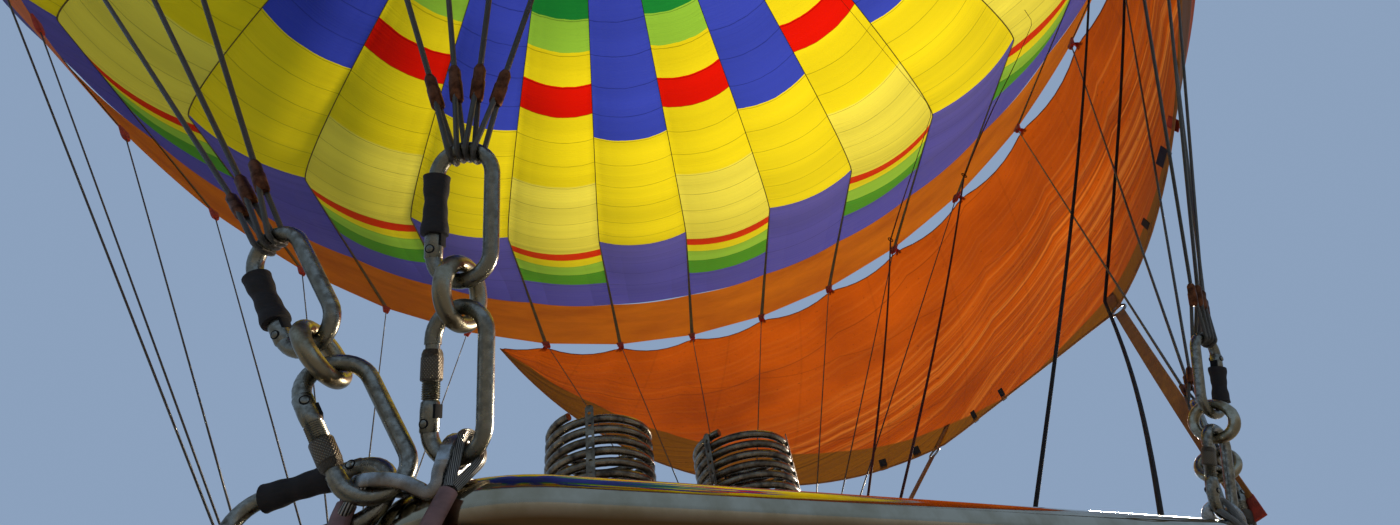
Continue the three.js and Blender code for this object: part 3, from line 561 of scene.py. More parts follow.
# Scoop cloth: its third colour is a painted highlight on the crests of the folds
SCOOP_CLOTH = ScoopCloth(
    "flame_resistant_scoop_cloth", "#c85808", "#a44406", "#ec8830", "#7c4c10", 0.1397, 0.55)
DARK_FACING = WovenCloth("dark_hook_tape", "#2c2018", "#140f0c", 1.5, 20, 0.0)
BLUE_PATCH = WovenCloth("dark_blue_patch", "#1c2238", "#0e1120", 1.5, 20, 0.0)

# Rubber and tape wound over the karabiners' gates: black with brown dust
GATE_SLEEVE = Grained("wound_black_tape", "#1e1611", "#0b0908", (9, 9, 3), 0.0005, 0.8)
# Vinyl tube over the basket wires: brown pink, scuffed
PINK_SLEEVE = Grained("scuffed_vinyl_sleeve", "#8a6660", "#5c4440", (30, 30, 12), 0.0003, 0.5)
# Near black without shine, for the karabiners' hinge slot and round the rivet: painted shade where these
# recesses lie in shadow
PAINTED_SHADE_BLACK = Grained("painted_shade_black", "#080706", "#030303", (3, 3, 3), 0.0001, 1.0)
# Leather, hand sewn over foam
RIM_LEATHER = Grained("brown_saddle_leather", "#6a4426", "#3c2414", (4, 4, 4), 0.0006, 0.5, True)
LEATHER_THONG = Grained("dark_leather_thong", "#3a2416", "#1c110a", (3, 3, 3), 0.0003, 0.55, True)
# Cane, soaked and woven, then varnished
CANE = Grained("varnished_woven_cane", "#b07c3c", "#7a4c1e", (14, 14, 3), 0.0008, 0.45)
BIRCH_PLY = Grained("birch_plywood", "#c09a66", "#94703f", (8, 160, 8), 0.0003, 0.5)
ASH_WOOD = Grained("ash_runner_wood", "#a47e50", "#6e4e2c", (9, 140, 9), 0.0006, 0.6)


# Modelling tools


def deselect() -> None:
    """Leaves nothing selected."""
    bpy.ops.object.select_all(action="DESELECT")


def named(name: str) -> Piece:
    """Names the active object and its mesh, and returns it."""
    piece = bpy.context.object
    piece.name = name
    piece.data.name = name
    return piece


@contextmanager
def editing() -> Iterator[None]:
    """Edit mode, with everything on the active piece selected."""
    bpy.ops.object.mode_set(mode="EDIT")
    bpy.ops.mesh.select_all(action="SELECT")
    yield
    bpy.ops.object.mode_set(mode="OBJECT")


def cleaned(piece: Piece, angle: float) -> Piece:
    """Merges doubles, turns faces outwards and smooths the edges under an angle in degrees."""
    with editing():
        bpy.ops.mesh.remove_doubles(threshold=1e-6)
        bpy.ops.mesh.normals_make_consistent(inside=False)
    bpy.ops.object.shade_smooth_by_angle(angle=radians(angle))
    return piece


def modified(piece: Piece, kind: str, **sizes: float) -> None:
    """Gives a piece a modifier with its sizes and applies it."""
    modifier = piece.modifiers.new(kind.lower(), kind)
    for name, size in sizes.items():
        setattr(modifier, name, size)
    bpy.context.view_layer.objects.active = piece
    bpy.ops.object.modifier_apply(modifier=modifier.name)


def axes(first: Vector, second: Vector, third: Vector) -> Matrix:
    """The turn that lays X, Y and Z along three ways."""
    return Matrix((first, second, third)).transposed().to_4x4()


def drawn(loops: Sequence[Line], closed: bool, dimensions: str = "3D") -> bpy.types.Curve:
    """The data of a new, active curve of straight runs.

    Args:
        loops: The points of each run.
        closed: Whether each run's end meets its start.
        dimensions: Flat, "2D", or not, "3D".

    Returns:
        The curve, still without thickness.
    """
    deselect()
    bpy.ops.curve.primitive_nurbs_path_add()
    curve = bpy.context.object.data
    curve.splines.clear()
    curve.dimensions = dimensions
    for loop in loops:
        spline = curve.splines.new("POLY")
        spline.points.add(len(loop) - 1)
        for place, point in zip(spline.points, loop):
            place.co = (*point, 1.0)
        spline.use_cyclic_u = closed
    return curve


def dress(piece: Piece, *finishes: Finish) -> Piece:
    """Gives a piece its finishes, in the order of its material slots."""
    piece.data.materials.clear()
    for finish in finishes:
        piece.data.materials.append(finish.material())
    return piece


def rod(name: str, points: Line, radius: float, sides: int = 12, closed: bool = False,
        radii: Sequence[float] = ()) -> Piece:
    """A round rod or tube along a line of points, as a bevelled curve turned into a mesh.

    Args:
        name: The piece's name.
        points: The rod's middle line.
        radius: Its radius in metres.
        sides: Flats round it, an even number.
        closed: Whether its end meets its start.
        radii: A radius for each point, where it isn't the same all along.

    Returns:
        The rod, with a map that counts turns across and metres along it.
    """
    curve = drawn([points], closed)
    for place, own in zip(curve.splines[0].points, radii or [radius] * len(points)):
        place.radius = own / radius
    curve.twist_mode = "MINIMUM"
    curve.bevel_depth = radius
    curve.bevel_resolution = max(sides // 2 - 2, 0)
    curve.use_fill_caps = not closed
    bpy.ops.object.convert(target="MESH")
    piece = named(name)
    length = running_lengths([*points, points[0]] if closed else points)[-1]
    for corner in piece.data.uv_layers[0].data:
        corner.uv.y *= length
    return cleaned(piece, 50)


def turned(name: str, foot: Vector, profile: Sequence[tuple[float, float]], sides: int = 32,
           way: Vector = Z) -> Piece:
    """A turned piece, from radii and distances along its axis."""
    points = [foot + way * along for _, along in profile]
    return rod(name, points, 1.0, sides, radii=[max(radius, 1e-4) for radius, _ in profile])


def bevelled(piece: Piece, width: float, segments: int = 2) -> Piece:
    """Rounds the sharp edges of a piece.

    Args:
        piece: The piece, changed in place.
        width: Metres taken off each side of an edge.
        segments: Faces across an edge.

    Returns:
        The same piece.
    """
    modified(piece, "BEVEL", width=width, segments=segments, angle_limit=radians(40))
    deselect()
    piece.select_set(True)
    bpy.ops.object.shade_smooth_by_angle(angle=radians(35))
    return piece


def box(name: str, centre: Vector, size: Sequence[float]) -> Piece:
    """A box, from its middle and its sizes along X, Y and Z."""
    deselect()
    bpy.ops.mesh.primitive_cube_add(size=1, location=centre)
    bpy.context.object.scale = size
    bpy.ops.object.transform_apply(location=True, rotation=True, scale=True)
    return named(name)


def block(name: str, centre: Vector, size: Sequence[float], bevel: float) -> Piece:
    """A box with rounded edges."""
    return bevelled(box(name, centre, size), bevel)


def plate(name: str, outline: Line, holes: Sequence[Line], thick: float,
          bevel: float) -> Piece:
    """A flat plate with holes and rounded edges, centred on the XY plane.

    Args:
        name: The plate's name.
        outline: Points round it.
        holes: Points round each hole.
        thick: Its thickness.
        bevel: How far its edges are rounded.

    Returns:
        The plate.
    """
    curve = drawn((outline, *holes), True, "2D")
    curve.fill_mode = "BOTH"
    curve.extrude = thick / 2 - bevel
    curve.bevel_depth = bevel
    curve.offset = -bevel
    curve.bevel_resolution = 1
    bpy.ops.object.convert(target="MESH")
    return cleaned(named(name), 35)


def mesh_piece(name: str, points: Line, faces: Sequence[Sequence[int]]) -> Piece:
    """A piece from its points and faces, left selected and active.

    Args:
        name: The piece's name.
        points: Its points.
        faces: The numbers of each face's points.

    Returns:
        The piece.
    """
    mesh = bpy.data.meshes.new(name)
    mesh.from_pydata([tuple(point) for point in points], [], [list(face) for face in faces])
    mesh.update()
    piece = bpy.data.objects.new(name, mesh)
    bpy.context.scene.collection.objects.link(piece)
    deselect()
    piece.select_set(True)
    bpy.context.view_layer.objects.active = piece
    return piece


def cloth(name: str, rows: Sequence[Line], uv_name: str,
          uv_rows: Sequence[Sequence[tuple[float, float]]]) -> Piece:
    """A sheet of cloth from rows of points, with its own map, facing away from the balloon's axis.

    Args:
        name: The sheet's name.
        rows: Rows of points, all of one length.
        uv_name: The map's name.
        uv_rows: The map's two numbers for each point.

    Returns:
        The sheet.
    """
    columns = len(rows[0])
    corners = [(row, column) for row in range(len(rows)) for column in range(columns)]
    faces = [
        (row * columns + column, row * columns + column + 1,
         (row + 1) * columns + column + 1, (row + 1) * columns + column)
        for row in range(len(rows) - 1) for column in range(columns - 1)
    ]
    piece = mesh_piece(name, [rows[row][column] for row, column in corners], faces)
    layer = piece.data.uv_layers.new(name=uv_name)
    for loop in piece.data.loops:
        row, column = corners[loop.vertex_index]
        layer.data[loop.index].uv = uv_rows[row][column]
    facing = sum(face.normal.x * face.center.x + face.normal.y * face.center.y
                 for face in piece.data.polygons)
    if facing < 0:
        piece.data.flip_normals()
    piece.data.shade_smooth()
    return piece


def strap(name: str, points: Line, flats: Line, width: float, thick: float,
          bevel: float = 0.0, closed: bool = False) -> Piece:
    """A flat bar or strap along points.

    Args:
        name: The piece's name.
        points: Its middle line.
        flats: For each point, the way square to the broad face.
        width: Across the broad face.
        thick: Its thickness.
        bevel: How far its edges are rounded.
        closed: Whether its end meets its start.

    Returns:
        The strap.
    """
    count = len(points)
    corners = []
    for index, (point, flat) in enumerate(zip(points, flats)):
        after = points[(index + 1) % count] if closed or index + 1 < count else point
        before = points[index - 1] if closed or index else point
        side = (after - before).cross(flat).normalized()
        lift = side.cross(after - before).normalized()
        for across, up in ((-1, -1), (1, -1), (1, 1), (-1, 1)):
            corners.append(point + side * across * width / 2 + lift * up * thick / 2)
    faces = []
    for index in range(count if closed else count - 1):
        low, high = 4 * index, 4 * ((index + 1) % count)
        for corner in range(4):
            turn = (corner + 1) % 4
            faces.append((low + corner, low + turn, high + turn, high + corner))
    if not closed:
        faces += [(3, 2, 1, 0), tuple(4 * (count - 1) + corner for corner in range(4))]
    piece = mesh_piece(name, corners, faces)
    with editing():
        bpy.ops.mesh.normals_make_consistent(inside=False)
    if bevel:
        bevelled(piece, bevel)
    else:
        piece.data.shade_smooth()
        bpy.ops.object.shade_smooth_by_angle(angle=radians(40))
    return piece


def joined(name: str, pieces: Sequence[Piece]) -> Piece:
    """Joins pieces into one object, which keeps all their finishes."""
    deselect()
    for piece in pieces:
        piece.select_set(True)
    bpy.context.view_layer.objects.active = pieces[0]
    bpy.ops.object.join()
    return named(name)


def copy_of(source: Piece, name: str, place: Matrix) -> Piece:
    """A copy of a piece with its own mesh, its place in the mesh.

    Args:
        source: The model.
        name: The copy's name.
        place: Where the model's origin goes.

    Returns:
        The copy.
    """
    made = source.copy()
    made.data = source.data.copy()
    made.data.transform(place)
    made.name = name
    made.data.name = name
    bpy.context.scene.collection.objects.link(made)
    return made


def remove(*pieces: Piece) -> None:
    """Takes away pieces that were only models for copies."""
    for piece in pieces:
        bpy.data.objects.remove(piece)


def install(piece: Piece, slot: str, *nodes: str, body: Body = Body.BALLOON) -> None:
    """Sets a finished piece on its body, in place of the nodes that it stands for.

    Args:
        piece: The piece.
        slot: The name of a material slot; not used.
        nodes: The nodes that it stands for.
        body: The body that it rides on.
    """
    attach(piece, body.value)
    if nodes:
        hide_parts(*nodes)
    LOG.info("%s: %d faces on %s", piece.name, len(piece.data.polygons), body.value)


def fit(name: str, parts: Sequence[Piece], slot: str, *nodes: str, finish: Finish | None = None,
        body: Body = Body.BALLOON) -> None:
    """Joins parts into one piece, in one finish or with their own, and installs it.

    Args:
        name: The piece's name.
        parts: The parts.
        slot: Passed on to install, which does not use it.
        nodes: The nodes that it stands for.
        finish: Its finish, where the parts have none.
        body: The body that it rides on.
    """
    piece = joined(name, parts)
    if finish:
        dress(piece, finish)
    install(piece, slot, *nodes, body=body)


def arc(centre: Vector, first: Vector, second: Vector, radius: float, start: float, end: float,
        steps: int) -> list[Vector]:
    """Points of an arc from angle start to end, in radians, from the first axis to the second."""
    angles = [start + (end - start) * step / steps for step in range(steps + 1)]
    return [centre + first * radius * cos(a) + second * radius * sin(a) for a in angles]


def circle(centre: Vector, first: Vector, second: Vector, radius: float, steps: int) -> list[Vector]:
    """Points of a whole circle, the first of them on the first axis."""
    return arc(centre, first, second, radius, 0, 2 * pi, steps)[:-1]


def hoop(name: str, centre: Vector, first: Vector, second: Vector, radius: float, steps: int, stock: float,
         sides: int) -> Piece:
    """A closed ring of round bar, whose radius is stock."""
    return rod(name, circle(centre, first, second, radius, steps), stock, sides, closed=True)


def rounded_rectangle(width: float, depth: float, corner: float, middle: Vector, steps: int,
                      first: Vector = X, second: Vector = Y) -> list[Vector]:
    """A closed path round a rectangle with round corners.

    Args:
        width: Along the first way.
        depth: Along the second.
        corner: The corners' radius.
        middle: The rectangle's middle.
        steps: Runs in each corner.
        first: The first way.
        second: The second.

    Returns:
        The points of the path.
    """
    path = []
    quarter = pi / 2
    for turn, (across, up) in enumerate(((1, 1), (-1, 1), (-1, -1), (1, -1))):
        bend = middle + first * across * (width / 2 - corner) + second * up * (depth / 2 - corner)
        path += arc(bend, first, second, corner, turn * quarter, (turn + 1) * quarter, steps)
    return path


def running_lengths(points: Line) -> list[float]:
    """How far along a line each of its points is."""
    lengths = [0.0]
    for a, b in zip(points, points[1:]):
        lengths.append(lengths[-1] + (b - a).length)
    return lengths


def between(marks: Sequence[float], value: float) -> tuple[int, float]:
    """Where a value lies in rising marks: the mark above it, and its share of the way there."""
    above = min(max(bisect_right(marks, value), 1), len(marks) - 1)
    return above, (value - marks[above - 1]) / max(marks[above] - marks[above - 1], 1e-9)


def spaced(path: Line, count: int, closed: bool = True) -> list[tuple[Vector, Vector]]:
    """Evenly spaced points along a path, each with the direction of the path there.

    Args:
        path: The path's points.
        count: How many to place.
        closed: Whether the path's end meets its start.

    Returns:
        Points and directions.
    """
    points = [*path, path[0]] if closed else list(path)
    lengths = running_lengths(points)
    found = []
    for index in range(count):
        place, share = between(lengths, lengths[-1] * index / (count if closed else count - 1))
        a, b = points[place - 1], points[place]
        found.append((a.lerp(b, share), (b - a).normalized()))
    return found


def smooth(points: Line, steps: int = 6) -> list[Vector]:
    """A rounded line through points.

    Args:
        points: What the line passes through.
        steps: Runs between two of them.

    Returns:
        The line.
    """
    ends = [points[0] * 2 - points[1], *points, points[-1] * 2 - points[-2]]
    line = []
    for a, b, c, d in zip(ends, ends[1:], ends[2:], ends[3:]):
        for step in range(steps):
            t = step / steps
            line.append(0.5 * (2 * b + (c - a) * t + (2 * a - 5 * b + 4 * c - d) * t**2
                               + (3 * b - a - 3 * c + d) * t**3))
    return [*line, points[-1]]


# Envelope


def panel_number(distance: float) -> float:
    """Panels counted from the mouth, at a distance along the cloth."""
    place, share = between(SEAMS, distance)
    return place - 1 + share


@dataclass(frozen=True)
class Station:
    """A place on the envelope's outline: radius, height and the way out."""

    radius: float
    height: float
    out: tuple[float, float]


@dataclass
class Outline:
    """The envelope's outline from the mouth to the crown ring, by distance along it."""

    steps: int = 600
    lobes: tuple[tuple[float, float], ...] = (
        (0.0, 0.02), (BAND_WIDTH, 0.05), (4.5, 0.12), (18.0, 0.12), (25.3, 0.0), (40.0, 0.0))
    angles: list[float] = field(default_factory=list)
    lengths: list[float] = field(default_factory=list)

    def __post_init__(self) -> None:
        """Measures the dome, whose length has no simple formula."""
        self.widest = MOUTH_RADIUS + CONE_LENGTH * CONE_OUT + SHOULDER_RADIUS * (1 - CONE_UP)
        self.middle = MOUTH_HEIGHT + CONE_LENGTH * CONE_UP + SHOULDER_RADIUS * CONE_OUT
        self.dome_from = CONE_LENGTH + SHOULDER_RADIUS * CONE_ANGLE
        last = acos(CROWN_RING_RADIUS / self.widest)
        self.angles = [last * step / self.steps for step in range(self.steps + 1)]
        points = [(self.widest * cos(a), DOME_HEIGHT * sin(a)) for a in self.angles]
        self.lengths = [self.dome_from]
        for (r, z), (next_r, next_z) in zip(points, points[1:]):
            self.lengths.append(self.lengths[-1] + hypot(next_r - r, next_z - z))

    def station(self, distance: float) -> Station:
        """The place at a distance from the mouth."""
        if distance <= CONE_LENGTH:
            return Station(MOUTH_RADIUS + distance * CONE_OUT, MOUTH_HEIGHT + distance * CONE_UP,
                           (CONE_UP, -CONE_OUT))
        if distance <= self.dome_from:
            angle = CONE_ANGLE - (distance - CONE_LENGTH) / SHOULDER_RADIUS
            out = (cos(angle), -sin(angle))
            radius = self.widest - SHOULDER_RADIUS * (1 - out[0])
            return Station(radius, self.middle + SHOULDER_RADIUS * out[1], out)
        place, share = between(self.lengths, distance)
        angle = self.angles[place - 1] + (self.angles[place] - self.angles[place - 1]) * share
        radius, rise = self.widest * cos(angle), DOME_HEIGHT * sin(angle)
        slope = Vector((radius / self.widest**2, rise / DOME_HEIGHT**2)).normalized()
        return Station(radius, self.middle + rise, (slope.x, slope.y))

    def distance_at(self, radius: float) -> float:
        """The distance at which the dome has a radius."""
        return self.lengths[bisect_right(self.angles, acos(radius / self.widest)) - 1]

    def lobe(self, distance: float) -> float:
        """How far a gore bulges between its tapes, as a share of its width."""
        for (low, start), (high, end) in zip(self.lobes, self.lobes[1:]):
            if distance <= high:
                return start + (end - start) * (distance - low) / (high - low)
        return 0.0

    def point(self, distance: float, gore: float, lift: float = 0.0) -> Vector:
        """A point of the envelope.

        Args:
            distance: Metres from the mouth.
            gore: Gores round from the first tape. A whole number is on a tape.
            lift: Metres outside the cloth.

        Returns:
            The point in the row frame.
        """
        station = self.station(distance)
        half = GORE_ANGLE / 2
        share = across_gore(gore)
        chord = station.radius * cos(half) / cos(share * half)
        width = 2 * station.radius * sin(half)
        reach = chord + self.lobe(distance) * width * (1 - share * share) + lift * station.out[0]
        return at_gore(gore, reach, station.height + lift * station.out[1])


BAG = Outline()


@dataclass
class Envelope:
    """The bag: four quarters of seven gores, the band at the mouth, tapes, crown and valve."""

    columns: int = 12
    row_step: float = 0.25
    ripple: float = 0.035
    band_rows: int = 10
    mouth_arch: float = 0.028
    tape_width: float = 0.022
    tape_thick: float = 0.004
    quarters: tuple[str, ...] = ("back", "right", "front", "left")

    def build(self) -> None:
        """Builds every piece of the bag."""
        for index, quarter in enumerate(self.quarters):
            self.quarter(quarter, index)
        self.band()
        self.load_tapes()
        self.mouth_tabs()
        self.crown()
        self.valve()

    def ripples(self, point: Vector, share: float) -> float:
        """How far the cloth swells at a point, which is least at the tapes."""
        return self.ripple * noise.noise(point * 0.55) * (1 - share**4)

    def quarter(self, name: str, index: int) -> None:
        """A quarter of the bag, from the band to the vent."""
        gores = GORES // len(self.quarters)
        top = BAG.distance_at(VENT_RADIUS)
        count = round((top - BAND_WIDTH) / self.row_step)
        distances = [BAND_WIDTH + (top - BAND_WIDTH) * row / count for row in range(count + 1)]
        places = [index * gores + column / self.columns for column in range(gores * self.columns + 1)]
        rows = []
        for distance in distances:
            row = []
            for place in places:
                ripple = self.ripples(BAG.point(distance, place), across_gore(place))
                row.append(BAG.point(distance, place, ripple))
            rows.append(row)
        uv_rows = [[(place, panel_number(distance)) for place in places] for distance in distances]
        piece = cloth(f"gores_{name}", rows, "Gore", uv_rows)
        dress(piece, RAINBOW_GORE, BLUE_GORE)
        for number, face in enumerate(piece.data.polygons):
            gore = index * gores + (number % (len(places) - 1)) // self.columns
            face.material_index = gore % 2
        install(piece, "envelope_nylon", f"envelope_{name}")
        length = top - BAND_WIDTH
        area = sum(
            2 * pi * BAG.station(distance).radius / len(self.quarters) * length / count
            for distance in distances[1:])

    def band(self) -> None:
        """The heat proof band round the mouth. Its lower edge arches up between the tapes."""
        places = [column / self.columns for column in range(GORES * self.columns + 1)]
        rows, uv_rows = [], []
        for row in range(self.band_rows + 1):
            share = row / self.band_rows
            points = []
            for place in places:
                arch = self.mouth_arch * (1 - across_gore(place) ** 2) * (1 - share)
                points.append(BAG.point(share * BAND_WIDTH + arch, place))
            rows.append(points)
            uv_rows.append([(place, share * BAND_WIDTH) for place in places])
        piece = dress(cloth("heat_proof_band", rows, "Gore", uv_rows), BAND_CLOTH)
        install(piece, "heat_proof_band", "mouth_band")
        high = BAG.station(BAND_WIDTH).radius

    def load_tapes(self) -> None:
        """Tapes that carry the load up every seam."""
        top = BAG.distance_at(VENT_RADIUS)
        count = 64
        tapes = []
        for tape in range(GORES):
            line = [BAG.point(top * step / count, tape, -0.003) for step in range(count + 1)]
            tapes.append(strap("tape", line, [gore_way(tape)] * len(line), self.tape_width, self.tape_thick))
        fit("load_tapes", tapes, "webbing", finish=TAPE_WEBBING)

    def mouth_tabs(self) -> None:
        """A folded tab of red webbing at the foot of each tape, which holds the flying wire."""
        width, length, thick = 0.042, 0.090, 0.014
        model = box("tab_model", Vector(), (thick, width, length))
        with editing():
            bpy.ops.mesh.subdivide(number_cuts=3)
        for vertex in model.data.vertices:
            share = vertex.co.z / length + 0.5
            vertex.co.y *= 0.62 + 0.5 * share
            vertex.co.x *= 1.15 - 0.4 * abs(2 * share - 0.6)
            vertex.co.z -= length * 0.35
        bevelled(model, 0.002)
        loop = hoop("thimble", Vector((0, 0, -0.058)), Y, Z, 0.011, 16, 0.0025, 8)
        dress(model, RED_WEBBING)
        dress(loop, COPPER)
        model = joined("tab_model", [model, loop])
        tabs = []
        for chain in CHAINS:
            for wire, end in enumerate(chain.ends):
                way = (end - chain.start(wire)).normalized()
                out = Vector((end.x, end.y, 0)).normalized()
                side = way.cross(out).normalized()
                turn = axes(side.cross(way), side, way)
                tabs.append(copy_of(model, f"tab_{chain.name}_{wire}", Matrix.Translation(end) @ turn))
        remove(model)
        fit("mouth_tabs", tabs, "webbing")

    def crown(self) -> None:
        """The crown ring, and the tapes that run to it over the open vent."""
        top = BAG.station(BAG.lengths[-1])
        centre = at(0, 0, top.height + 0.002)
        ring = dress(hoop("crown_hoop", centre, X, Y, CROWN_RING_RADIUS, 72, 0.010, 16), POLISHED_STAINLESS)
        first = BAG.distance_at(VENT_RADIUS)
        tapes = []
        for tape in range(GORES):
            line = [first + (BAG.lengths[-1] - first) * step / 12 for step in range(13)]
            points = [BAG.point(distance, tape, -0.003) for distance in line]
            points.append(centre + gore_way(tape) * (CROWN_RING_RADIUS - 0.011))
            tapes.append(strap("crown_tape", points, [Z] * len(points), 0.038, 0.003))
        web = dress(joined("crown_webbing", tapes), TAPE_WEBBING)
        fit("crown_ring_and_tapes", [ring, web], "webbing", "crown_tapes")

    def valve(self) -> None:
        """The disc of cloth that closes the vent from inside, with the lines that pull it down."""
        under = 0.018
        columns = GORES * 4
        reaches = [VALVE_RADIUS * step / 16 for step in range(17)]
        rows, uv_rows = [], []
        for reach in reaches:
            row = []
            for column in range(columns + 1):
                gore = column / 4
                station = BAG.station(BAG.distance_at(max(reach, CROWN_RING_RADIUS)))
                drop = under + 0.05 * (reach / VALVE_RADIUS) ** 2 * (1 - across_gore(gore) ** 2)
                row.append(at_gore(gore, reach, station.height - drop))
            rows.append(row)
            uv_rows.append([(column / 4, reach) for column in range(columns + 1)])
        piece = dress(cloth("parachute_disc", rows, "Gore", uv_rows), VALVE_NYLON)
        with editing():
            bpy.ops.mesh.remove_doubles(threshold=1e-4)
        if piece.data.polygons[0].normal.z < 0:
            piece.data.flip_normals()
        install(piece, "valve_nylon", "parachute_valve", body=Body.VALVE)
        edge = BAG.station(BAG.distance_at(VALVE_RADIUS))
        knot = at(0, 0, edge.height - 2.6)
        lines = []
        for tape in range(0, GORES, 2):
            rim = at_gore(tape, VALVE_RADIUS, edge.height - under)
            lines.append(rod("valve_shroud", [rim, knot], 0.002, 6))
        ring = hoop("valve_knot", knot, X, Y, 0.02, 12, 0.006, 8)
        fit("valve_shroud_lines", [*lines, ring], "webbing", finish=RED_LINE, body=Body.VALVE)


# Chains of karabiner, ring and karabiner, which carry the flying wires


@dataclass(frozen=True)
class Chain:
    """One chain on an eye of the load frame, and the wires that fan out from it.

    The turns are those of the lower karabiner, the ring and the upper karabiner, in degrees.
    """

    name: str
    side_x: int
    side_y: int
    on_end: bool
    first_tape: int
    wires: int
    turns: tuple[int, int, int]
    upper_flipped: bool = False
    lower_flipped: bool = False

    @property
    def eye(self) -> Vector:
        """Where the lower karabiner bears on the load frame."""
        in_x, in_y, height = END_EYE if self.on_end else SIDE_EYE
        return at(self.side_x * (FRAME_WIDTH / 2 - in_x), self.side_y * (FRAME_DEPTH / 2 - in_y), height)

    @property
    def ends(self) -> list[Vector]:
        """Where the wires meet the mouth of the envelope."""
        depth = 0.005
        reach, height = MOUTH_RADIUS - depth * CONE_UP, MOUTH_HEIGHT + depth * CONE_OUT
        return [at_gore(self.first_tape + wire, reach, height) for wire in range(self.wires)]

    @property
    def up(self) -> Vector:
        """The way the chain is pulled."""
        return (sum(self.ends, Vector()) / self.wires - self.eye).normalized()

    @property
    def face(self) -> Vector:
        """The way the karabiners face, away from the basket's middle."""
        out = Vector((0, self.side_y, 0))
        return (out - self.up * out.dot(self.up)).normalized()

    @property
    def across(self) -> Vector:
        """From one side of a karabiner to the other."""
        return self.up.cross(self.face)

    def ways(self, link: int) -> tuple[Vector, Vector]:
        """The ways across and out of a link: 0 is the lower karabiner, 1 the ring and 2 the upper."""
        turn = Matrix.Rotation(radians(-self.side_x * self.side_y * self.turns[link]), 3, self.up)
        return turn @ self.across, turn @ self.face

    def place(self, along: float, across: float = 0.0, link: int = 0) -> Vector:
        """A point measured from the eye, on a link's own way across."""
        return self.eye + self.up * along + self.ways(link)[0] * across

    def start(self, wire: int) -> Vector:
        """Where a wire leaves the bow of the upper karabiner."""
        return self.place(UPPER_ALONG + KARABINER_LENGTH, self.spread(wire), 2)

    def spread(self, wire: int) -> float:
        """How far from the middle of the bow a wire's eye sits."""
        return (wire - (self.wires - 1) / 2) * 0.0075 * (1 if self.across.x * self.side_y > 0 else -1)

    def frame(self, along: float, link: int, flipped: bool = False) -> Matrix:
        """Places a link's own axes: gate on its outer side, length up.

        Args:
            along: Metres from the eye to the link's middle.
            link: Which of the three links.
            flipped: Whether it hangs upside down.

        Returns:
            The link's place.
        """
        across, face = self.ways(link)
        outward = 1 if self.across.x * self.side_x > 0 else -1
        first, second = -across * outward, -self.up if flipped else self.up
        if link == 1:
            first, second = face, self.up
        return Matrix.Translation(self.place(along)) @ axes(first, second, first.cross(second))


def corner_point(sx: int, sy: int, x: float, y: float, z: float) -> Vector:
    """A point of any corner, from its place in millimetres at the front left one."""
    return at(-sx * x / 1000, -sy * y / 1000, z / 1000)


# Basket wires at the front left corner, in millimetres: sling and sleeve, on the end or the side chain
BASKET_WIRES = {
    True: (
        ((-493, -640, 8), (-492, -641, 22), (-490, -642, 44), (-486, -639, 51), (-479, -634, 51),
         (-474, -634, 42), (-474, -639, 30), (-481, -641, 19), (-490, -640, 8)),
        ((-493, -640, 5), (-497, -640, -6), (-503, -640, -24), (-512, -634, -60), (-518, -628, -130),
         (-522, -622, -220)),
    ),
    False: (
        ((-554, -603, 6), (-556, -601, 13), (-552, -604, 20), (-546, -611, 22), (-546, -618, 18),
         (-551, -613, 10), (-556, -604, 2)),
        ((-555, -601, 10), (-557, -601, -6), (-556, -606, -50), (-548, -616, -120), (-530, -622, -230)),
    ),
}

CHAINS = (
    Chain("back_left_end", -1, 1, True, 0, 4, (44, 44, 33)),
    Chain("back_right_end", 1, 1, True, 4, 4, (7, 10, 3)),
    Chain("back_right_side", 1, 1, False, 8, 3, (2, 16, 30), lower_flipped=True),
    Chain("front_right_side", 1, -1, False, 11, 3, (2, 16, 30), lower_flipped=True),
    Chain("front_right_end", 1, -1, True, 14, 4, (187, 10, 3), upper_flipped=True),
    Chain("front_left_end", -1, -1, True, 18, 4, (44, 44, 33)),
    Chain("front_left_side", -1, -1, False, 22, 3, (4, 34, 48), lower_flipped=True),
    Chain("back_left_side", -1, 1, False, 25, 3, (4, 34, 48), lower_flipped=True),
)


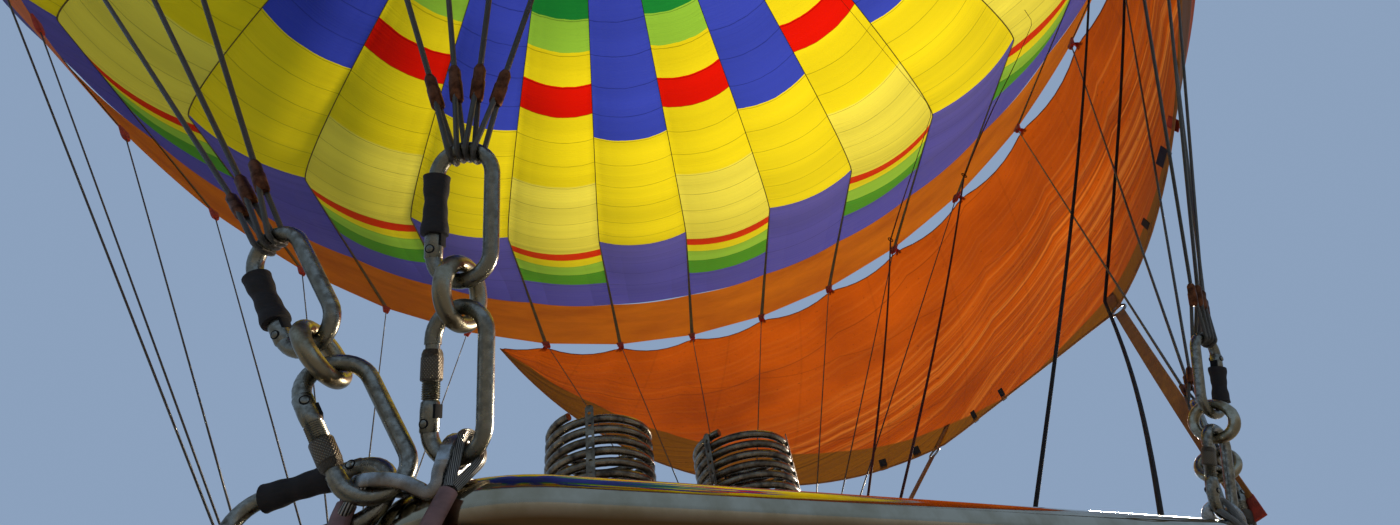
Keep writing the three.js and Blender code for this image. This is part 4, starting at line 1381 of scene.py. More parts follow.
@dataclass
class Karabiner:
    """A long oval karabiner with a hinged gate on its -X side. Its length is along Y."""

    kind: Gate
    stock: float = KARABINER_STOCK
    bow: float = KARABINER_BOW
    length: float = KARABINER_LENGTH
    hinge: float = -0.030

    def build(self) -> Piece:
        """The karabiner as one piece, centred on the origin."""
        straight = self.length / 2 - self.bow
        top, foot = Vector((0, straight, 0)), Vector((0, -straight, 0))
        gate = Vector((-self.bow, 0, 0))
        line = [gate + Y * self.hinge]
        line += arc(foot, X, Y, self.bow, -pi, 0, 16)
        line += arc(top, X, Y, self.bow, 0, pi, 16)
        line.append(gate + Y * (straight - 0.004))
        body = dress(rod("body", line, self.stock, 18), KARABINER_STEEL)
        steel = [body, *self.hinge_parts(gate)]
        cover = self.taped(gate) if self.kind is Gate.TAPED else self.screwed(gate)
        return joined(f"karabiner_{self.kind.value}", [*steel, *cover])

    def hinge_parts(self, gate: Vector) -> list[Piece]:
        """The gate's rod, its flat sided hinge and the rivet, with the slot beside it and a sleeve round the
        rivet, both near black as painted shade.
        """
        rod_piece = rod("gate", [gate + Y * -0.02, gate + Y * 0.031], 0.0056, 14)
        hinge = turned("hinge", gate, (
            (0.0062, -0.038), (0.0072, -0.036), (0.0074, -0.020), (0.0070, -0.0145), (0.0058, -0.013)), 18, Y)
        rivet = turned("rivet", gate + Y * -0.0305 - Z * 0.0082, (
            (0.0022, 0.0), (0.0030, 0.0005), (0.0030, 0.0159), (0.0022, 0.0164)), 14, Z)
        slot = block("slot", gate + Y * -0.0215 + X * 0.0063, (0.0030, 0.0105, 0.0092), 0.0004)
        shadow = turned("shadow", gate + Y * -0.0305 - Z * 0.0078, ((0.0037, 0.0), (0.0037, 0.0156)), 14, Z)
        for piece in (rod_piece, hinge, rivet):
            dress(piece, KARABINER_STEEL)
        # The slot and the sleeve round the rivet are painted shade: near black pieces where the recesses lie
        # in shadow
        for piece in (slot, shadow):
            dress(piece, PAINTED_SHADE_BLACK)
        return [rod_piece, hinge, rivet, slot, shadow]

    def taped(self, gate: Vector) -> list[Piece]:
        """A sleeve wound with black tape."""
        steps = 22
        low, high = -0.0165, 0.034
        profile = []
        for step in range(steps + 1):
            share = step / steps
            swell = 0.0100 + 0.0009 * cos(2 * pi * (share - 0.02)) + 0.00035 * sin(19 * share)
            profile.append((swell, low + (high - low) * share))
        profile = [(0.0085, low - 0.0006), *profile, (0.0086, high + 0.0006)]
        return [dress(turned("sleeve", gate, profile, 20, Y), GATE_SLEEVE)]

    def screwed(self, gate: Vector) -> list[Piece]:
        """A knurled sleeve above its threads."""
        sleeve = dress(turned("sleeve", gate, (
            (0.0070, 0.0015), (0.0080, 0.0018), (0.0084, 0.0030), (0.0084, 0.0195), (0.0080, 0.0205),
            (0.0080, 0.0225), (0.0073, 0.0245), (0.0066, 0.0260)), 24, Y), KNURL)
        pitch, low, high = 0.0018, -0.0125, 0.0012
        profile = []
        for turn in range(round((high - low) / pitch)):
            profile += [(0.0062, low + turn * pitch), (0.0070, low + (turn + 0.5) * pitch)]
        threads = dress(turned("threads", gate, (*profile, (0.0062, high)), 18, Y), KARABINER_STEEL)
        return [sleeve, threads]


@dataclass
class Rigging:
    """Eight chains and their twenty-eight flying wires, and the spare karabiner at the corner."""

    ferrule_along: float = 0.052
    ferrule_length: float = 0.034

    def build(self) -> None:
        """Builds the chains from one model of each link."""
        models = {kind: Karabiner(kind).build() for kind in Gate}
        ring = self.ring()
        for chain in CHAINS:
            half = KARABINER_LENGTH / 2
            for label, node, model, place in (
                ("upper_karabiner", "karabiner_upper", models[Gate.TAPED],
                 chain.frame(UPPER_ALONG + half, 2, chain.upper_flipped)),
                ("lower_karabiner", "karabiner_lower", models[Gate.SCREWED],
                 chain.frame(half, 0, chain.lower_flipped)),
                ("steel_ring", "ring", ring, chain.frame(RING_ALONG, 1)),
            ):
                link = copy_of(model, f"{label}_{chain.name}", place)
                install(link, "plated_steel", f"{node}_{chain.name}")
            self.fan(chain)
            self.basket_wire(chain)
        self.handling_karabiner(models[Gate.TAPED])
        remove(ring, *models.values())

    def ring(self) -> Piece:
        """A welded ring in the XY plane, thicker at the weld and worn thin where the links bear."""
        count = 48
        angles = [2 * pi * step / count for step in range(count)]
        radii = [RING_STOCK * (1 + 0.07 * exp(-((a - 0.5) / 0.09) ** 2) - 0.02 * sin(a) ** 8)
                 for a in angles]
        line = circle(Vector(), X, Y, RING_RADIUS, count)
        return dress(rod("ring_model", line, RING_STOCK, 20, closed=True, radii=radii), RING_STEEL)

    def fan(self, chain: Chain) -> None:
        """The wires of a chain, each with an eye round the bow and a pressed ferrule."""
        wires, ferrules = [], []
        lift = KARABINER_STOCK + WIRE_RADIUS
        for wire, end in enumerate(chain.ends):
            seat = chain.place(UPPER_ALONG + KARABINER_LENGTH - self.dip(chain, wire), chain.spread(wire), 2)
            way = (end - seat).normalized()
            face = chain.ways(2)[1]
            side = (face - way * face.dot(way)).normalized()
            neck = seat + way * self.ferrule_along
            legs = [neck - side * 0.0032, *self.bow_round(seat, side, way, lift), neck + side * 0.0032]
            wires.append(rod(f"eye_{wire}", legs, WIRE_RADIUS * 0.95, 10))
            wires.append(rod(f"wire_{wire}", [neck, end - way * 0.052], WIRE_RADIUS, 10))
            tall = self.ferrule_length
            ferrules.append(turned(f"ferrule_{wire}", neck - way * 0.006, (
                (0.0048, 0.0), (0.0058, 0.002), (0.0058, tall * 0.55), (0.0052, tall * 0.6),
                (0.0052, tall - 0.004), (0.0034, tall)), 14, way))
        rope = dress(joined("rope", wires), WIRE_ROPE)
        metal = dress(joined("metal", ferrules), COPPER)
        fit(f"flying_wires_{chain.name}", [rope, metal], "wire_rope", f"wire_fan_{chain.name}")

    def dip(self, chain: Chain, wire: int) -> float:
        """How far the bow's round top falls away under a wire's eye."""
        return KARABINER_BOW - sqrt(KARABINER_BOW**2 - chain.spread(wire) ** 2)

    def bow_round(self, seat: Vector, side: Vector, way: Vector, lift: float) -> list[Vector]:
        """Half a turn of wire under the bow."""
        return arc(seat, side, way, lift, pi, 2 * pi, 8)

    def basket_wire(self, chain: Chain) -> None:
        """A rope sling over the foot of the lower karabiner, and its sleeve down to the upright."""
        parts = []
        for route, radius, sides, finish in zip(
                BASKET_WIRES[chain.on_end], (0.0042, 0.0068), (12, 14), (SLING_ROPE, PINK_SLEEVE)):
            line = smooth([corner_point(chain.side_x, chain.side_y, *point) for point in route])
            parts.append(dress(rod("wire", line, radius, sides), finish))
        fit(f"basket_wire_{chain.name}", parts, "wire_rope")

    def handling_karabiner(self, model: Piece) -> None:
        """The spare karabiner round the rim of the front left tongue."""
        low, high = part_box("handling_karabiner")
        way = Vector((-0.853, 0.492, -0.174)).normalized()
        face = Matrix.Rotation(radians(5), 3, way) @ way.cross(Z).normalized()
        turn = axes(way.cross(face), way, face)
        piece = copy_of(model, "spare_karabiner", Matrix.Translation((low + high) / 2) @ turn)
        install(piece, "plated_steel", "handling_karabiner")


# Load frame


@dataclass
class LoadFrame:
    """The polished tube over the basket, its corner plates, eyes and bearings."""

    # Middle line of the front left corner plate in millimetres, and its share of the turn to the ear
    bend: tuple[tuple[float, float, float, float], ...] = (
        (-556, -608, 22, 0), (-541, -608.5, 23, 0), (-528, -609, 22.5, 0), (-516, -610, 20, 0.1),
        (-507, -612, 16.5, 0.3), (-499.5, -614, 14.5, 0.5), (-493.5, -618, 17, 0.75), (-490.5, -622.5, 25, 1),
        (-489.8, -627.5, 34, 1), (-491, -633, 43, 1), (-492.7, -638.5, 51.5, 1))
    tongue_across: tuple[float, float, float] = (0, 0.955, 0.296)
    ear_across: tuple[float, float, float] = (0.52, 0.78, 0.35)
    plate_width: float = 0.047
    plate_thick: float = 0.010
    holes: tuple[tuple[float, float], ...] = ((0.027, 0.016), (0.0915, 0.010))
    boss_radius: float = 0.021
    boss_length: float = 0.024

    def build(self) -> None:
        """One piece: the tube and all that is welded to it."""
        tube = rod("tube", rounded_rectangle(FRAME_WIDTH, FRAME_DEPTH, FRAME_BEND, at(0, 0, 0), 16),
                   FRAME_TUBE, 40, closed=True)
        parts = [dress(tube, POLISHED_STAINLESS)]
        parts += [dress(made(sx, sy), PLATE_STEEL)
                  for made in (self.corner_plate, self.tie_plate) for sx in (-1, 1) for sy in (-1, 1)]
        for side in (-1, 1):
            start = at(side * (FRAME_WIDTH / 2 - FRAME_TUBE - self.boss_length + 0.006), 0, 0)
            parts.append(dress(turned("bearing", start, (
                (0.0104, 0.001), (0.0104, 0.0), (self.boss_radius - 0.001, 0.0), (self.boss_radius, 0.001),
                (self.boss_radius, 0.022), (self.boss_radius - 0.001, 0.0235)), 32, X * side), PLATE_STEEL))
        fit("load_frame_tube", parts, "stainless_steel", "load_frame")

    def corner_plate(self, sx: int, sy: int) -> Piece:
        """A plate with two holes, bent from a level tongue through a dip to an upright ear.

        Args:
            sx: The corner's side along X.
            sy: Its side along Y.

        Returns:
            The plate.
        """
        line = smooth([corner_point(sx, sy, *point[:3]) for point in self.bend], 4)
        turns = [turn.x for turn in smooth([Vector((point[3], 0, 0)) for point in self.bend], 4)]
        lengths = running_lengths(line)
        half, long = self.plate_width / 2, lengths[-1]
        outline = arc(Vector((long - half, 0, 0)), X, Y, half, -pi / 2, pi / 2, 12)
        outline += arc(Vector((half, 0, 0)), X, Y, half, pi / 2, 3 * pi / 2, 12)
        holes = [circle(Vector((along, 0, 0)), X, Y, radius, 24) for along, radius in self.holes]
        piece = plate("corner_plate", outline, holes, self.plate_thick, 0.0018)
        with editing():
            for along in lengths[1:-1]:
                bpy.ops.mesh.select_all(action="SELECT")
                bpy.ops.mesh.bisect(plane_co=(along, 0, 0), plane_no=(1, 0, 0))
        mirror = Vector((-sx, -sy, 1))
        tongue, ear = Vector(self.tongue_across) * mirror, Vector(self.ear_across) * mirror
        for vertex in piece.data.vertices:
            along, side, lift = vertex.co
            place, share = between(lengths, along)
            frames = []
            for near in (place - 1, place):
                way = (line[min(near + 1, len(line) - 1)] - line[max(near - 1, 0)]).normalized()
                across = tongue.lerp(ear, turns[near])
                across = (across - way * across.dot(way)).normalized()
                frames.append((across, across.cross(way)))
            across, normal = (a.lerp(b, share).normalized() for a, b in zip(*frames))
            vertex.co = line[place - 1].lerp(line[place], share) + across * side + normal * lift
        with editing():
            bpy.ops.mesh.normals_make_consistent(inside=False)
        return piece

    def tie_plate(self, sx: int, sy: int) -> Piece:
        """A flat plate with a hole, outside the tube, for a handling line."""
        out, half, hole_radius = 0.062, 0.030, 0.018
        outline = arc(Vector(), X, Y, half, -pi / 2, pi / 2, 16)
        outline += [Vector((0.010 - out, half, 0)), Vector((0.010 - out, -half, 0))]
        hole = circle(Vector(), X, Y, hole_radius, 28)
        piece = plate("tie_plate", outline, [hole], 0.010, 0.0015)
        turn = Matrix.Rotation(0 if sx > 0 else pi, 4, "Z")
        centre = at(sx * (FRAME_WIDTH / 2 - 0.018 + out), sy * (FRAME_DEPTH / 2 - 0.120), 0.007)
        piece.data.transform(Matrix.Translation(centre) @ turn)
        return piece


# Scoop


@dataclass
class Scoop:
    """The sheet below the mouth that turns the wind into it, its hangers, straps and patches."""

    reach: float = radians(92)
    corner: tuple[float, float, float] = (1.250, 0.370, 0.765)
    side_pull: tuple[float, float, float] = (0.632, 1.285, 0.645)
    corner_share: float = 0.2
    billow: float = 0.110
    end: float = 0.98
    clear: float = 0.012
    off: float = 0.022
    sag: float = 0.045
    fold: float = 0.016
    columns: int = 196
    rows: int = 90
    tapes: range = range(4, 18)

    def top(self, way: float) -> Vector:
        """The top edge, from -1 at the front end to 1 at the back end. It sags between hangers."""
        gore = (FIRST_TAPE - way * self.reach) / GORE_ANGLE
        sag = self.sag * (1 - across_gore(gore) ** 2)
        return at_gore(gore, MOUTH_RADIUS + self.off, MOUTH_HEIGHT - self.clear - sag)

    def low(self, way: float) -> Vector:
        """The free edge: straight between the two low corners, then curved up to the ends."""
        side = -1 if way < 0 else 1
        share = abs(way)
        x, y, z = self.corner
        if share < self.corner_share:
            return at(x, side * y * share / self.corner_share, z)
        along = (share - self.corner_share) / (1 - self.corner_share)
        angle = side * self.reach
        radius = MOUTH_RADIUS + self.off
        ends = (
            at(x, side * y, z),
            at(self.side_pull[0], side * self.side_pull[1], self.side_pull[2]),
            at(radius * cos(angle), radius * sin(angle), MOUTH_HEIGHT - self.clear),
        )
        return (ends[0] * (1 - along) ** 2 + ends[1] * 2 * along * (1 - along) + ends[2] * along**2)

    def point(self, way: float, down: float, lift: float = 0.0) -> Vector:
        """A point of the sheet.

        Args:
            way: From -1 at the front end to 1 at the back end.
            down: From 0 at the top to 1.
            lift: Metres outside the sheet.

        Returns:
            The point in the row frame.
        """
        flat = self.top(way).lerp(self.low(way), down)
        out = Vector((flat.x, flat.y, 0)).normalized()
        swell = self.billow * sin(pi * down) * (1 - way * way)
        return flat + out * (swell + self.folds(way, down) + lift)

    def folds(self, way: float, down: float) -> float:
        """Folds that slant from the back corner up to the front of the mouth."""
        slant = down - 0.79 * way
        place = Vector((way * 1.3, slant * 5.0, 0.0))
        crease = noise.noise(place * 1.6) + 0.6 * noise.noise(place * 3.7 + X * 7)
        tight = exp(-((slant - 0.72) / 0.42) ** 2)
        pulled = 0.35 + tight
        held = sin(pi * min(max(down, 0.02), 0.98)) ** 0.5
        return self.fold * crease * pulled * held

    def build(self) -> None:
        """Builds the sheet and what holds it."""
        ways = [self.end * (2 * column / self.columns - 1) for column in range(self.columns + 1)]
        downs = [row / self.rows for row in range(self.rows + 1)]
        rows = [[self.point(way, down) for way in ways] for down in downs]
        piece = cloth("scoop_sheet", rows, "Scoop", [[(way, down) for way in ways] for down in downs])
        dress(piece, SCOOP_CLOTH)
        install(piece, "scoop_fabric", "scoop")
        self.hems(ways)
        self.straps()
        self.hangers()
        self.patches()

    def hems(self, ways: Sequence[float]) -> None:
        """Rolled hems with a cord inside, along the top and the free edge."""
        edges = [rod(f"hem_{down}", [self.point(way, down) for way in ways[::2]], 0.003, 8)
                 for down in (0.0, 1.0)]
        ends = [rod(f"hem_end_{side}", [self.point(side * self.end, row / 10) for row in range(11)], 0.003, 8)
                for side in (-1, 1)]
        fit("scoop_hems", edges + ends, "scoop_fabric", finish=TAN_WEBBING)

    def straps(self) -> None:
        """Webbing from each low corner to the karabiner of the side chain, with a ring at its head."""
        for side, name in ((-1, "front_right_side"), (1, "back_right_side")):
            chain = next(c for c in CHAINS if c.name == name)
            outward = 1 if chain.ways(0)[0].x > 0 else -1
            foot = chain.place(0.080, outward * (KARABINER_BOW + KARABINER_STOCK + 0.0031))
            head = self.point(side * self.corner_share, 0.97, -0.004)
            way = (head - foot).normalized()
            flat = way.cross(Y).normalized()
            neck = head - way * 0.11
            points = [foot.lerp(neck, share / 8) + flat * 0.006 * sin(pi * share / 8) for share in range(9)]
            web = dress(strap("web", points, [flat] * 9, 0.028, 0.005, 0.001), TAN_WEBBING)
            loop = hoop("ring", head - way * 0.09, Y, way, 0.022, 28, 0.0035, 10)
            tab_points = [head - way * 0.075, head, head + way * 0.05]
            tab = strap("tab", tab_points, [flat] * 3, 0.030, 0.004, 0.001)
            turn = strap("turn", [foot - way * 0.045, foot + way * 0.006], [flat] * 2, 0.030, 0.004, 0.001)
            fit(f"scoop_strap_{name}", [
                web, dress(loop, PLATE_STEEL), dress(tab, TAN_WEBBING), dress(turn, RED_WEBBING)], "webbing")

    def hangers(self) -> None:
        """A knot of red webbing at each tape, between the sheet's top edge and the wire's tab."""
        pieces = []
        for tape in self.tapes:
            out = gore_way(tape)
            top = self.point((FIRST_TAPE - tape * GORE_ANGLE) / self.reach, 0.0)
            side = Z.cross(out)
            for turn, lean in ((-1, 0.4), (1, -0.3)):
                points = [top - Z * 0.035 + side * 0.012 * turn, top + side * 0.004 * turn,
                          top - out * 0.018 + Z * 0.018, top - out * 0.03 - Z * 0.012 + side * lean * 0.03]
                pieces.append(strap("hanger", points, [out] * 4, 0.014, 0.003, 0.0008))
        fit("scoop_hangers", pieces, "webbing", finish=RED_WEBBING)

    def patches(self) -> None:
        """Small patches of hook tape and cloth along the free edge."""
        rows = (
            ("hook", DARK_FACING, 0.005, 0.985, (0.042, 0.115, 0.238, 0.285)),
            ("red", RED_WEBBING, 0.005, 0.93, (-0.395,)),
            ("blue", BLUE_PATCH, 0.009, 0.9, (-0.35,)),
            ("dark", DARK_FACING, 0.004, 0.95, (-0.30,)),
        )
        made = []
        for name, finish, half, down, ways in rows:
            for way in ways:
                points = [self.point(way + step * half, down, -0.004) for step in range(-1, 2)]
                out = Vector((points[1].x, points[1].y, 0)).normalized()
                made.append(dress(strap(name, points, [out] * 3, 0.04, 0.002), finish))
        fit("scoop_patches", made, "scoop_fabric")


# Burners


@dataclass
class Burners:
    """The gimbal, and two burners side by side on one block."""

    gimbal_width: float = 0.88
    gimbal_depth: float = 1.06
    gimbal_tube: float = 0.012
    gimbal_bend: float = 0.06
    pin: float = 0.010
    spacing: float = 0.32
    block_size: tuple[float, float, float] = (0.47, 0.12, 0.07)
    can_radius: float = 0.112
    can_top: float = 0.225
    coil_radius: float = 0.0977
    coil_tube: float = 0.0079
    coil_top: float = 0.454
    coil_turns: float = 9.6
    coil_taper: float = 0.015

    def build(self) -> None:
        """Builds the gimbal and both burners."""
        self.gimbal()
        self.block()
        for name, side in (("left", -1), ("right", 1)):
            self.can(name, side)
            self.coil(name, side)

    def gimbal(self) -> None:
        """The inner frame, hinged on pins in the load frame."""
        path = rounded_rectangle(self.gimbal_width, self.gimbal_depth, self.gimbal_bend, at(0, 0, 0), 12)
        parts = [dress(rod("gimbal", path, self.gimbal_tube, 24, closed=True), POLISHED_STAINLESS)]
        reach = FRAME_WIDTH / 2 - FRAME_TUBE - 0.0004
        for side in (-1, 1):
            pin = rod("pin", [at(side * reach, 0, 0), at(side * self.gimbal_width / 2, 0, 0)], self.pin, 20)
            parts.append(dress(pin, PLATE_STEEL))
            start = at(0, side * (self.gimbal_depth / 2 - self.gimbal_tube - 0.018), 0)
            parts.append(dress(turned("bearing", start, (
                (0.0104, 0.001), (0.0104, 0.0), (0.020, 0.0), (0.021, 0.001), (0.021, 0.016),
                (0.020, 0.018)), 28, Y * side), PLATE_STEEL))
        fit("gimbal_tube", parts, "stainless_steel", "gimbal_frame", body=Body.GIMBAL)

    def block(self) -> None:
        """The block between the burners, with a valve, a lever and a blank gauge for each."""
        depth, height = self.block_size[1:]
        parts = [dress(block("block", at(0, 0, 0), self.block_size, 0.006), BRASS)]
        reach = self.gimbal_depth / 2 - self.gimbal_tube - 0.0004
        for side in (-1, 1):
            parts.append(dress(rod("axle", [at(0, side * depth / 2.2, 0), at(0, side * reach, 0)],
                                   self.pin, 20), PLATE_STEEL))
            x = side * self.spacing / 2
            valve = turned("valve", at(x, 0, -height / 2 - 0.052), (
                (0.014, 0.0), (0.017, 0.002), (0.017, 0.020), (0.022, 0.024), (0.022, 0.050),
                (0.026, 0.0545)), 28)
            lever = strap("lever", [at(x, -0.01, -height / 2 - 0.030), at(x, -0.09, -height / 2 - 0.045),
                                    at(x, -0.17, -height / 2 - 0.052)], [Z] * 3, 0.018, 0.004, 0.001)
            grip = turned("grip", at(x, -0.165, -height / 2 - 0.052), (
                (0.006, 0.0), (0.010, 0.004), (0.011, 0.04), (0.010, 0.085), (0.006, 0.09)), 18, -Y)
            gauge = turned("gauge", at(x, -depth / 2, 0.006), (
                (0.010, 0.0), (0.010, 0.012), (0.026, 0.013), (0.028, 0.016), (0.028, 0.028), (0.025, 0.030)),
                28, -Y)
            parts += [dress(valve, BRASS), dress(lever, PLATE_STEEL), dress(grip, RED_WEBBING),
                      dress(gauge, BRASS)]
        fit("burner_manifold", parts, "burner_alloy", "burner_block", body=Body.BURNERS)

    def can(self, name: str, side: int) -> None:
        """A steel can with a row of air holes and a rolled lip, and the jets inside it."""
        low = self.block_size[2] / 2 + 0.0005
        x = side * self.spacing / 2
        deselect()
        bpy.ops.mesh.primitive_cylinder_add(
            vertices=64, radius=self.can_radius - 0.002, depth=self.can_top - low, end_fill_type="NOTHING",
            location=at(x, 0, (low + self.can_top) / 2))
        bpy.ops.object.transform_apply(location=True, rotation=True, scale=True)
        wall = named("can_wall")
        centre = at(x, 0, 0)
        for height in (low + 0.030, low + 0.058):
            with editing():
                bpy.ops.mesh.bisect(plane_co=centre + Z * height, plane_no=(0, 0, 1))
        holes = [face for face in wall.data.polygons
                 if low + 0.031 < (face.center - centre).z < low + 0.057]
        holes.sort(key=lambda face: atan2(face.center.y, face.center.x - x))
        chosen = {face.index for face in holes[::4]}
        bpy.ops.object.mode_set(mode="EDIT")
        bpy.ops.mesh.select_all(action="DESELECT")
        bpy.ops.object.mode_set(mode="OBJECT")
        for face in wall.data.polygons:
            face.select = face.index in chosen
        bpy.ops.object.mode_set(mode="EDIT")
        bpy.ops.mesh.select_mode(type="FACE")
        bpy.ops.mesh.inset(thickness=0.0015, use_individual=True)
        bpy.ops.mesh.delete(type="FACE")
        bpy.ops.object.mode_set(mode="OBJECT")
        modified(wall, "SOLIDIFY", thickness=0.003, offset=0)
        bpy.ops.object.shade_smooth_by_angle(angle=radians(40))
        lips = [hoop("lip", at(x, 0, height), X, Y, self.can_radius - 0.003, 64, 0.0028, 10)
                for height in (low + 0.003, self.can_top - 0.003)]
        reach = self.can_radius - 0.005
        floor = turned("floor", at(x, 0, low), ((reach, 0.0), (reach, 0.004)), 48)
        jet_ring = hoop("jet_ring", at(x, 0, 0.12), X, Y, 0.062, 40, 0.008, 12)
        jets = [turned("jet", at(x + 0.062 * cos(a), 0.062 * sin(a), 0.126), (
            (0.005, 0.0), (0.005, 0.012), (0.003, 0.016)), 10)
            for a in [2 * pi * step / 12 for step in range(12)]]
        stem = turned("stem", at(x, 0, low), ((0.022, 0.0), (0.022, 0.03), (0.014, 0.04), (0.014, 0.12),
                                             (0.018, 0.125), (0.012, 0.14)), 20)
        arms = [rod("arm", [at(x, 0, 0.10), at(x + 0.06 * cos(a), 0.06 * sin(a), 0.12)], 0.006, 10)
                for a in (0.3, 2.4, 4.5)]
        for piece in (wall, *lips, floor):
            dress(piece, COIL_STEEL)
        for piece in (jet_ring, *jets, stem, *arms):
            dress(piece, BRASS)
        fit(f"burner_can_shell_{name}", [wall, *lips, floor, jet_ring, stem, *jets, *arms],
            "stainless_steel", f"burner_can_{name}", body=Body.BURNERS)

    def coil(self, name: str, side: int) -> None:
        """The vaporising coil: a tube in close turns, clamped by upright strips."""
        x = side * self.spacing / 2
        low = self.can_top + self.coil_tube + 0.002
        high = self.coil_top - self.coil_tube
        count = round(self.coil_turns * 40)
        points = []
        for step in range(count + 1):
            share = step / count
            angle = 2 * pi * self.coil_turns * share
            radius = self.coil_radius * (1 - self.coil_taper * share**2)
            points.append(at(x + radius * cos(angle), radius * sin(angle), low + (high - low) * share))
        parts = [rod("coil", points, self.coil_tube, 12)]
        first = radians(-118 if side < 0 else -160)
        for strip in range(3):
            parts.append(self.strip(at(x, 0, 0), first + strip * 2 * pi / 3))
        foot = hoop("foot", at(x, 0, self.can_top + 0.003), X, Y, 0.104, 56, 0.0026, 8)
        fit(f"vaporiser_coil_{name}", [*parts, foot], "coil_steel", f"burner_coil_{name}", finish=COIL_STEEL,
            body=Body.BURNERS)

    def strip(self, centre: Vector, angle: float) -> Piece:
        """A strip with a row of holes, bolted down the outside of the coil.

        Args:
            centre: The coil's axis, on the load frame's level.
            angle: Where the strip is round it.

        Returns:
            The strip.
        """
        half, width = (self.coil_top - self.can_top) / 2 - 0.001, 0.008
        outline = arc(Vector((0, half - width, 0)), X, Y, width, 0, pi, 10)
        outline += arc(Vector((0, width - half, 0)), X, Y, width, pi, 2 * pi, 10)
        holes = [circle(Vector((0, (row - 4) * 0.024, 0)), X, Y, 0.0034, 12) for row in range(9)]
        piece = plate("strip", outline, holes, 0.002, 0.0004)
        out = Vector((cos(angle), sin(angle), 0))
        lean = (Z + out * 0.004).normalized()
        face = lean.cross(Z.cross(out)).normalized()
        turn = axes(lean.cross(face), lean, face)
        reach = self.coil_radius * (1 - self.coil_taper / 3) + self.coil_tube + 0.0006
        middle = centre + out * (reach - 0.0012) + Z * (self.can_top + self.coil_top) / 2
        piece.data.transform(Matrix.Translation(middle) @ turn)
        return piece


# Basket


